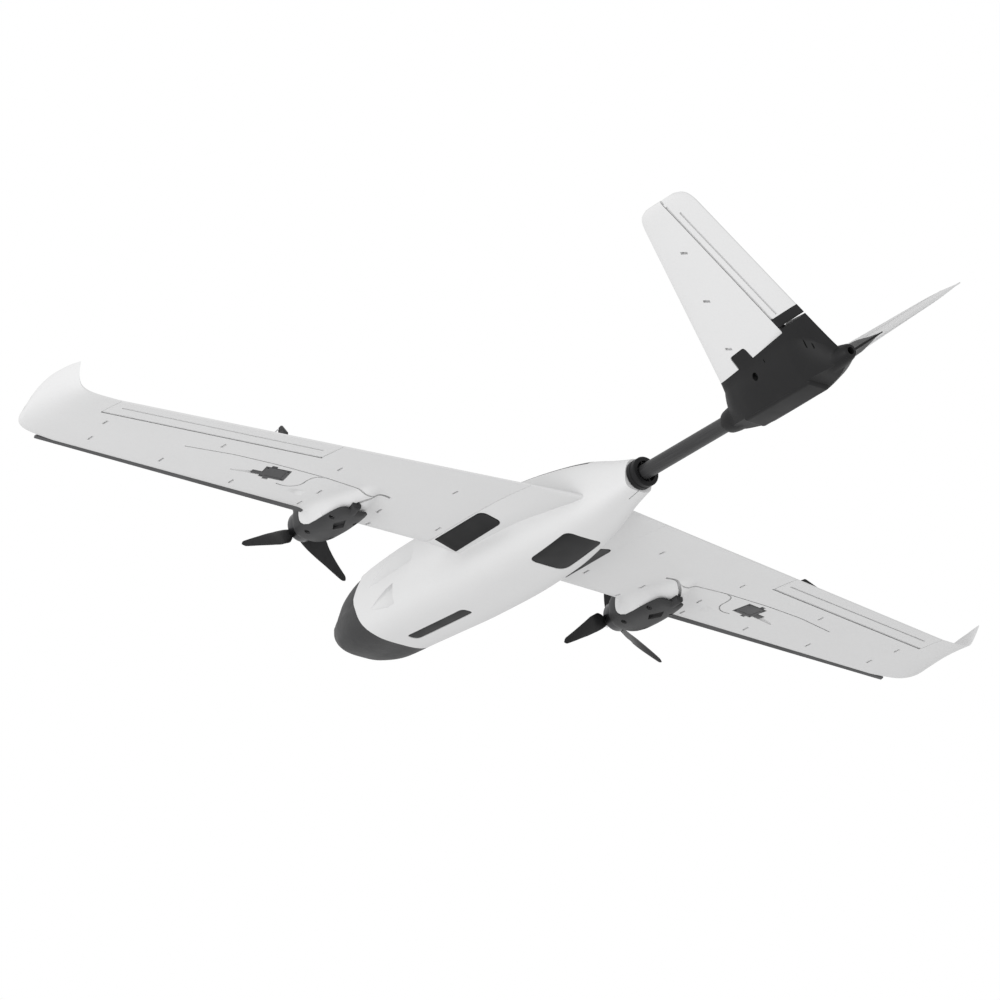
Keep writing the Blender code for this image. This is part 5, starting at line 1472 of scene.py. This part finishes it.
def make_power_unit():
    x = MOTOR_X
    forward = Vector((0, -1, 0))
    cover = loft("cover", nacelle_rings())
    carve(cover, side_prism("cover_keep", cover_profile(0.0), 30.0, x), operation="INTERSECT")
    inside = [[(px, py, max(pz, COVER_FLOOR_Z)) for px, py, pz in ring] for ring in nacelle_rings(1.8)]
    front = [(px, FIREWALL_Y - 2.0, pz) for px, py, pz in inside[0]]
    plan = [(x + u, v) for u, v in COVER_PLAN]
    carve(cover, loft("cover_inside", [front] + inside))
    carve(cover, prism("cover_plan", round_corners(plan, 7.0, 8), 80.0, at_height(0.0)),
          operation="INTERSECT")
    carve(cover, side_prism("cover_rear", COVER_REAR, 30.0, x), operation="INTERSECT")
    soften(cover, 0.45, 2, 60.0)
    start, end, radius = LEAD_BOSS
    join(cover, soften(rod("boss", start, end, radius, 32), 1.4, 4, 60.0))
    cutters = []
    for sx in (-COVER_SCREW_HALF, COVER_SCREW_HALF):
        for y in COVER_SCREW_YS:
            cutters.append(rod("screw_hole", (x + sx, y, -30), (x + sx, y, COVER_FLOOR_Z + 0.4),
                               COVER_SCREW_RADIUS, 28))
    matrix = at_height(-22.0)
    matrix.translation.x = x
    depth = 2 * (22.0 + COVER_FLOOR_Z - 0.5)
    cutters.append(prism("vent", round_corners(COVER_VENT, 0.8, 3), depth, matrix))
    show_pair(carve(cover, *cutters), "nacelle_cover_%s", "airframe", COVER)

    mount = turned("mount", [(3.2, 3.4), (12.6, 3.4), (13.0, 3.0), (13.0, 2.6), (14.8, 2.6),
                             (15.2, 2.2), (15.2, 0.0), (3.2, 0.0)],
                   (x, FIREWALL_Y + 3.2, THRUST_Z), forward)
    holes = []
    for k in range(4):
        angle = math.pi * (k + 0.5) / 2
        spot = Vector((x + math.cos(angle) * 9.5, FIREWALL_Y, THRUST_Z + math.sin(angle) * 9.5))
        holes.append(rod("hole", spot + Vector((0, -2, 0)), spot + Vector((0, 6, 0)), 1.5, 20))
    show_pair(carve(mount, *holes), "motor_mount_%s", "airframe", PLATE)

    stator = turned("stator", [(3.4, 12.6), (10.4, 12.6), (10.4, 2.2), (7.0, 2.2), (7.0, 0.0),
                               (3.4, 0.0)], (x, FIREWALL_Y - 0.7, THRUST_Z), forward, 72)
    slots = []
    for k in range(9):
        angle = 2 * math.pi * k / 9
        middle = Vector((x + math.cos(angle) * 9.0, FIREWALL_Y - 8.4, THRUST_Z + math.sin(angle) * 9.0))
        slots.append(block("slot", middle, (3.2, 8.0, 0.7), Matrix.Rotation(-angle, 3, "Y")))
    show_pair(carve(stator, *slots), "motor_stator_%s", "airframe", WINDING)
    make_rotor(x, forward)

    esc = soften(box("esc", (x - 8, -68, -9.2), (x + 8, -44, -5.0)), 0.8, 3)
    ribs = [box("rib", (x - 6, y, -9.6), (x + 6, y + 1.2, -8.6)) for y in (-64, -60, -56, -52, -48)]
    show_pair(carve(esc, *ribs), "esc_%s", "airframe", WRAP)


def make_rotor(x, forward):
    radius = MOTOR_RADIUS
    profile = [(2.4, 29.4), (2.0, 30.0), (1.0, 30.0), (1.0, 28.0), (0.6, 27.6), (0.6, 0.0), (1.0, -1.0),
               (2.8, -1.0), (2.8, 13.4), (radius - 1.4, 13.4), (radius - 1.4, 3.0), (radius, 3.0),
               (radius, 4.2), (radius - 0.3, 4.5), (radius - 0.3, 5.3), (radius, 5.6), (radius, 12.6),
               (radius - 0.5, 13.8), (radius - 1.2, 15.0), (9.0, 15.8), (6.0, 16.2), (5.2, 16.8),
               (2.4, 16.8)]
    bell = turned("bell", profile, (x, FIREWALL_Y, THRUST_Z), forward, 80)
    vents = []
    for k in range(6):
        angle = 2 * math.pi * k / 6
        middle = Vector((x + math.cos(angle) * 9.4, FIREWALL_Y - 15.0, THRUST_Z + math.sin(angle) * 9.4))
        vent = block("vent", middle, (2.2, 2.6, 1.6), Matrix.Rotation(-angle, 3, "Y"))
        vents.append(soften(vent, 0.8))
    show_pair(carve(bell, *vents), "motor_bell_%s", "rotor_%s", MOTOR)

    hub = turned("hub", [(2.7, 3.2), (5.2, 3.2), (5.9, 2.9), (6.6, 2.2), (6.6, -3.0), (6.4, -3.2),
                         (2.7, -3.2)], (x, PROP_Y, THRUST_Z), forward, 64)
    for k in range(BLADES):
        angle = math.radians(90.0 + PROP_PHASE + 360.0 / BLADES * k)
        join(hub, loft("blade", blade_rings(angle), 40.0))
    show_pair(shaded(hub, 40.0), "propeller_%s", "rotor_%s", PROPELLER)

    nut = turned("nut", [(3.0, 6.2), (3.3, 6.4), (3.6, 6.4), (4.8, 5.4), (4.8, 0.3), (4.5, 0.0),
                         (3.0, 0.0)], (x, PROP_Y - 3.6, THRUST_Z), forward, 6)
    show_pair(soften(nut, 0.2, 2), "prop_nut_%s", "rotor_%s", STEEL)


# Blade stations: radius, leading edge, trailing edge, thickness.
BLADE = ((5.4, 3.0, -3.0, 3.0), (9.0, 4.2, -6.0, 2.8), (13.0, 4.8, -10.0, 2.4), (19.0, 5.0, -13.4, 2.0),
         (25.0, 4.8, -13.0, 1.7), (32.0, 4.4, -10.4, 1.5), (40.0, 3.7, -8.0, 1.3),
         (49.0, 3.1, -5.8, 1.1), (57.0, 2.5, -4.2, 1.0), (61.5, 2.0, -3.2, 0.9),
         (PROP_RADIUS, 1.0, -1.9, 0.8))
BLADE_STEPS = 10


def blade_section():
    """Cambered section: (fraction from trailing to leading edge, height) round the outline."""
    top, bottom = [], []
    for k in range(BLADE_STEPS + 1):
        u = (1 - math.cos(math.pi * k / BLADE_STEPS)) / 2
        fat = 2.1 * math.sqrt(max(0.0, u * (1 - u))) * (0.4 + 0.6 * u)
        camber = 1.2 * u * (1 - u)
        top.append((u, camber + max(0.07, fat * 0.5)))
        bottom.append((u, camber - max(0.07, fat * 0.5)))
    return top[::-1] + bottom


def blade_rings(angle):
    """Twisted blade about the port propeller's centre."""
    radial = Vector((math.cos(angle), 0, math.sin(angle)))
    around = Vector((-math.sin(angle), 0, math.cos(angle)))
    forward = Vector((0, -1, 0))
    centre = Vector((MOTOR_X, PROP_Y, THRUST_Z))
    rings = []
    radii = spread(5.4, 60.0, 1.9) + [61.0, 61.9, 62.6, 63.1, 63.4]
    for radius in radii:
        lead, trail, thickness = smooth_at(BLADE, radius)
        rounding = math.sqrt(max(0.04, 1 - max(0.0, (radius - 60.0) / 3.6) ** 2))
        middle = (lead + trail) / 2
        lead, trail = middle + (lead - middle) * rounding, middle + (trail - middle) * rounding
        pitch = min(ROOT_PITCH, math.atan2(PROP_PITCH, 2 * math.pi * radius))
        along = around * math.cos(pitch) + forward * math.sin(pitch)
        off = radial.cross(along)
        rings.append([centre + radial * radius + along * (trail + u * (lead - trail))
                      + off * (v * thickness) for u, v in blade_section()])
    return rings


# ---------------------------------------------------------------- tail pieces

HUB = ((309.0, 7.8), (313.0, 10.2), (324.0, 11.6), (440.0, 11.6), (458.0, 10.4), (470.6, 8.8),
       (479.4, 6.6), (480.6, 5.6))
DRAIN_RADIUS = 3.4
# Section of the housing's arms: fraction of the way back, half depth.
ARM_SECTION = ((0.0, 0.7), (0.03, 3.2), (0.1, 5.4), (0.3, 7.0), (0.6, 7.0), (0.8, 6.2), (0.91, 3.6),
               (1.0, 1.0))
# Arm stations: S, leading edge, trailing edge, scale of the half depth.
ARM = ((0.0, 318.0, 474.0, 1.16), (14.0, 327.0, 471.4, 1.1), (30.0, 334.6, 469.4, 1.0),
       (62.0, 344.9, 466.0, 0.84))
KEEL = ((-12.0, 345.0, -17.5), (12.0, 438.0, -6.0))
# Belly of the housing, between keel and arms: Y, bottom, half width, how far up the arms.
BELLY = ((321.0, -10.8, 4.0, 8.0), (328.0, -12.4, 6.5, 20.0), (336.0, -13.6, 8.5, 28.0),
         (350.0, -15.4, 11.0, 31.0), (362.0, -16.2, 11.6, 33.0), (432.0, -15.6, 11.6, 38.0),
         (444.0, -13.4, 10.5, 36.0), (456.0, -12.2, 8.0, 28.0), (466.0, -9.8, 5.0, 16.0),
         (471.0, -8.4, 3.0, 8.0))
BELLY_BULGE = 2.2
TAIL_SERVO_S = (18.0, 40.0)
TAIL_SERVO_HALF = (10.0, 4.2)
TAIL_SCREW = (26.0, 384.3)
SCREW_HOLE_RADIUS = 3.4
# Slits under a fin: S, Y of their middles, half width and half length, and how they tilt.
TAIL_SLITS = ((147.0, 406.3), (102.0, 391.5), (57.3, 376.5))
TAIL_SLIT_HALF = (1.2, 3.6)
TAIL_SLIT_TILT = (0.41, 0.91)
# Pressed crease under a ruddervator: S, Y of its ends.
RUDDER_CREASE = ((177.6, 431.6), (61.0, 443.7))


def root_line(shift):
    """Edge between housing and foam up a panel, with the tab and the cap's notch."""
    (s0, y0), (s1, y1) = TAIL_ROOT_LINE
    slope = (s1 - s0) / (y1 - y0)
    (tab_front, tab_back), tab_s = TAIL_TAB
    line = [(s0 + (y - y0) * slope + shift, y)
            for y in (290.0, tab_front - shift, tab_back + shift, y1)]
    tab = [(tab_s + u + shift, tab_front + v - shift) for u, v in TAB_FRONT_CORNER]
    tab += [(tab_s + u + shift, tab_back - v + shift) for u, v in TAB_BACK_CORNER]
    return line[:2] + tab + line[2:] + [(CAP_ROOT_S - 1.6, 438.6), (CAP_ROOT_S - 1.4, 500.0)]


def arm_rings(side):
    rings = []
    for s in spread(0.0, 62.0, 4.0):
        front, back, scale = smooth_at(ARM, s)
        spots = [(1 - math.cos(math.pi * k / 28)) / 2 for k in range(29)]
        outline = [(f, 1) for f in reversed(spots)] + [(f, -1) for f in spots]
        rings.append([tail_point(s, front + (back - front) * f,
                                 sign * smooth_at(ARM_SECTION, f)[0] * scale, side)
                      for f, sign in outline])
    return rings


def tail_box(name, side, low, high, half_chord, half_height):
    """A box up the panel, centred on the hinge line's inward run."""
    y = tail_hinge(TAIL_HINGE_IN[0])
    return loft(name, [[tail_point(s, y + dy, dz, side) for dy, dz in
                        ((-half_chord, -half_height), (half_chord, -half_height),
                         (half_chord, half_height), (-half_chord, half_height))]
                       for s in (low, high)])


def tail_axis(side=1):
    s0, s1 = CAP_ROOT_S, TAIL_HINGE_OUT[0]
    return tail_point(s0, tail_hinge(s0), 0, side), tail_point(s1, tail_hinge(s1), 0, side)


def shaft_bore(name, side, radius):
    inner, outer = tail_axis(side)
    axis = (outer - inner).normalized()
    return rod(name, inner - axis * 14.0, inner + axis * 3.0, radius, 28)


def cone_on_hinge(name, grow, low, high):
    a = tail_point(low, tail_hinge(low), 0)
    b = tail_point(high, tail_hinge(high), 0)
    return rod(name, a, b, tail_half_depth_at_hinge(low) + grow, 40,
               tail_half_depth_at_hinge(high) + grow)


def belly_ring(y):
    """Section of the housing's belly, from port arm to starboard arm."""
    bottom, half_width, reach = smooth_at(BELLY, y)
    front, back, scale = smooth_at(ARM, reach)
    fraction = min(1.0, max(0.0, (y - front) / (back - front)))
    out = smooth_at(ARM_SECTION, fraction)[0] * scale - 0.4
    tip = tail_point(reach, y, -out)
    inner = tail_point(reach * 0.8, y, -min(out, 1.5))
    foot = Vector((half_width, y, bottom))
    outward = Vector((0.75, 0, -0.6)).normalized()
    port = []
    for k in range(9):
        t = k / 8
        port.append(foot.lerp(tip, t) + outward * BELLY_BULGE * 4 * t * (1 - t) * reach / 40)
    port.append(inner)
    port.append(Vector((1.0, y, TAIL_APEX_Z - 1.0)))
    return port + [Vector((-p.x, p.y, p.z)) for p in reversed(port)]


def housing_form():
    """Hub, two arms, belly and keel as one solid."""
    ys = [309.0, 310.0, 311.5, 313.0, 316.0, 320.0] + spread(324.0, 478.0, 7.0) + [480.0, 480.6]
    rings = []
    for y in ys:
        radius = smooth_at(HUB, y)[0]
        rings.append([(math.cos(a) * radius, y, BOOM_Z + math.sin(a) * radius)
                      for a in (2 * math.pi * k / 64 for k in range(64))])
    hub = loft("housing", rings)
    keel = soften(box("keel", *KEEL), 4.0, 5)
    arms = []
    for side in (1, -1):
        arm = loft("arm", arm_rings(side))
        outline = [(-5.0, 290.0)] + root_line(0.0) + [(-5.0, 500.0)]
        arms.append(carve(arm, tail_prism("root", outline, 60.0, side), operation="INTERSECT"))
    ys = spread(BELLY[0][0], BELLY[-1][0], 3.0)
    join(hub, keel, *arms)
    return join(hub, loft("belly", [belly_ring(y) for y in ys]))


def upper_half(name, shift):
    """Everything above the V of the two panels' mid planes."""
    reach = 120.0
    z = TAIL_APEX_Z + shift
    rise = math.tan(TAIL_ANGLE) * reach
    outline = [(0.0, z), (reach, z + rise), (reach, 200.0), (-reach, 200.0), (-reach, z + rise)]
    return prism(name, outline, 300.0, frame_matrix((0, 390, 0), (1, 0, 0), (0, 0, 1)))


def make_tail_housing():
    form = housing_form()
    cutters = [rod("boom_socket", (0, 290, BOOM_Z), (0, BOOM_END_Y + GAP, BOOM_Z),
                   BOOM_RADIUS + GAP, 48),
               rod("drain", (0, 400, BOOM_Z), (0, 490, BOOM_Z), DRAIN_RADIUS, 40)]
    for side in (1, -1):
        pocket = [tail_ring(s, tail_front(s) + 12.0, 415.6, 9.2, side) for s in (20.0, 70.0)]
        cutters.append(loft("arm_pocket", pocket))
        cutters.append(tail_box("servo_pocket", side, TAIL_SERVO_S[0] - GAP, TAIL_SERVO_S[1] + GAP,
                                TAIL_SERVO_HALF[0] + GAP, TAIL_SERVO_HALF[1] + GAP))
        cutters.append(shaft_bore("shaft_bore", side, SHAFT_RADIUS + 0.4))
    carve(form, *cutters)
    lower = add("lower", form.data.copy())
    for side in (1, -1):
        s, y = TAIL_SCREW
        ring = rod("ring", tail_point(s, y, -5.4, side), tail_point(s, y, -8.4, side), 5.6, 40, 4.9)
        join(lower, soften(ring, 0.4))
    details = [upper_half("parting", -GAP / 2)]
    for side in (1, -1):
        s, y = TAIL_SCREW
        details.append(rod("screw_hole", tail_point(s, y, -20, side), tail_point(s, y, -5.8, side),
                           SCREW_HOLE_RADIUS, 28))
        for y in (452.0, 457.0):
            trench = [(20.0, y - 0.6), (42.0, y - 2.2), (42.0, y - 1.2), (20.0, y + 0.4)]
            details.append(tail_prism("trench", trench, 3.0, side, -6.4))
        rib = [(10.0, 404.0), (38.0, 401.0), (38.0, 402.0), (10.0, 405.0)]
        details.append(tail_prism("line", rib, 1.6, side, -8.0))
    carve(lower, *details)
    show(lower, "tail_housing_lower", "airframe", HOUSING)
    carve(form, upper_half("parting", GAP / 2), operation="INTERSECT")
    show(form, "tail_housing_upper", "airframe", HOUSING)


def tail_groove():
    """Wide groove along the underside of the ruddervator's hinge."""
    spots = [tail_point(s, tail_hinge(s), 0.6 - tail_half_depth_at_hinge(s)) for s in (52.0, 188.0)]
    return tube_along("hinge_groove", spots, 1.3)


def make_tail_panel():
    fin = loft("fin", fin_rings(28.0), PANEL_ANGLE)
    hinge = [(s, tail_hinge(s)) for s in (0.0, 210.0)]
    fixed = [(0.0, 280.0), (210.0, 280.0), (210.0, hinge[1][1]), (0.0, hinge[0][1])]
    carve(fin, tail_prism("region", fixed, 60.0), operation="INTERSECT", smooth_angle=PANEL_ANGLE)
    cutters = [cone_on_hinge("cove", HINGE_CLEARANCE, 40.0, 200.0),
               tail_prism("root", [(-5.0, 290.0)] + root_line(GAP) + [(-5.0, 500.0)], 60.0)]
    for s, y in TAIL_SLITS:
        depth = tail_under(s, y)
        tilt, run = TAIL_SLIT_TILT
        wide, long = TAIL_SLIT_HALF
        outline = [(s + u * run - v * tilt, y + u * tilt + v * run)
                   for u, v in ((-wide, -long), (wide, -long), (wide, long), (-wide, long))]
        cutters.append(tail_prism("slit", outline, 7.0, 1, -depth))
    carve(fin, *cutters, tail_groove(), smooth_angle=PANEL_ANGLE)
    join(fin, loft("tenon", [tail_ring(s, tail_front(s) + 12.6, 414.8, 8.4) for s in (21.0, 70.0)]))
    show_pair(shaded(fin, PANEL_ANGLE), "fin_%s", "airframe", FOAM)

    rudder = loft("rudder", fin_rings(RUDDER_ROOT_S), PANEL_ANGLE)
    moving = [(0.0, hinge[0][1]), (210.0, hinge[1][1]), (210.0, 500.0), (0.0, 500.0)]
    carve(rudder, tail_prism("region", moving, 60.0), operation="INTERSECT", smooth_angle=PANEL_ANGLE)
    join(rudder, cone_on_hinge("nose", -0.12, RUDDER_ROOT_S + 0.2, 191.0))
    rib = tube_along("rib", [tail_point(s, y, -tail_under(s, y) + 0.5) for s, y in RUDDER_CREASE],
                     1.2)
    carve(rudder, rib, tail_groove(), smooth_angle=PANEL_ANGLE)
    show_pair(rudder, "ruddervator_%s", "ruddervator_%s", FOAM)

    rings = [tail_ring(s, tail_front(s), tail_back(s) + 0.3, tail_depth(s) + 0.6)
             for s in spread(CAP_ROOT_S, RUDDER_ROOT_S - GAP, 2.2)]
    cap = loft("cap", rings)
    carve(cap, tail_prism("region", moving, 60.0), operation="INTERSECT")
    inner, outer = tail_axis()
    axis = (outer - inner).normalized()
    join(cap, cone_on_hinge("nose", 0.1, CAP_ROOT_S + 0.2, RUDDER_ROOT_S - GAP - 0.2),
         rod("shaft", inner - axis * 12.0, inner + axis * 0.5, SHAFT_RADIUS, 28))
    show_pair(soften(cap, 0.3, 2, 50.0), "ruddervator_cap_%s", "ruddervator_%s", HOUSING)

    servo = tail_box("tail_servo", 1, *TAIL_SERVO_S, *TAIL_SERVO_HALF)
    soften(servo, 0.8, 3)
    carve(servo, shaft_bore("spline_hole", 1, SHAFT_RADIUS + GAP))
    show_pair(servo, "tail_servo_%s", "airframe", SERVO)


# ---------------------------------------------------------------- studio

def make_studio():
    world = bpy.data.worlds.new("white_room")
    bpy.context.scene.world = world
    world.use_nodes = True
    world.node_tree.nodes["Background"].inputs["Color"].default_value = (1.0, 1.0, 1.0, 1.0)
    world.node_tree.nodes["Background"].inputs["Strength"].default_value = WORLD_STRENGTH
    bpy.context.scene.view_settings.view_transform = "Standard"

    bm = bmesh.new()
    bmesh.ops.create_grid(bm, x_segments=8, y_segments=8, size=FLOOR_HALF)
    floor_mesh = bpy.data.meshes.new("floor")
    bm.to_mesh(floor_mesh)
    bm.free()
    floor = add("floor", floor_mesh)
    floor.location.z = FLOOR_Z
    pale = Surface("pale_floor")
    pale.colour(pale.ramp(pale.noise(3.0, 2.0), (0.80, 0.80, 0.80), (0.84, 0.84, 0.84)))
    pale.rough(pale.noise(9.0, 2.0), 0.8, 0.9)
    floor_mesh.materials.append(pale.material)

    for name, spot, size, watts in LAMPS:
        lamp = bpy.data.lights.new(name, "AREA")
        lamp.size = size
        lamp.energy = watts
        made = bpy.data.objects.new(name, lamp)
        made.location = spot
        bpy.context.scene.collection.objects.link(made)
        made.rotation_euler = (-Vector(spot)).to_track_quat("-Z", "Y").to_euler()


def make_camera():
    camera = bpy.data.cameras.new("camera")
    camera.lens = LENS
    camera.sensor_width = SENSOR_WIDTH
    camera.clip_start = 0.1
    camera.clip_end = 60.0
    made = bpy.data.objects.new("camera", camera)
    bpy.context.scene.collection.objects.link(made)
    level = math.cos(CAMERA_ELEVATION)
    back = Vector((math.cos(CAMERA_AZIMUTH) * level, math.sin(CAMERA_AZIMUTH) * level,
                   math.sin(CAMERA_ELEVATION)))
    right = Vector((0, 0, 1)).cross(back).normalized()
    matrix = Matrix((right, back.cross(right), back)).transposed().to_4x4()
    matrix = matrix @ Matrix.Rotation(CAMERA_ROLL, 4, "Z")
    matrix.translation = CAMERA_AIM + back * CAMERA_DISTANCE
    made.matrix_world = matrix
    bpy.context.scene.camera = made


# ---------------------------------------------------------------- build

make_camera()
make_studio()
make_fuselage()
make_centre()
make_equipment()
make_wing()
make_aileron()
make_power_unit()
make_tail_housing()
make_tail_panel()

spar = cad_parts["wing_spar"]
for slot in spar.material_slots:
    slot.material = SPAR
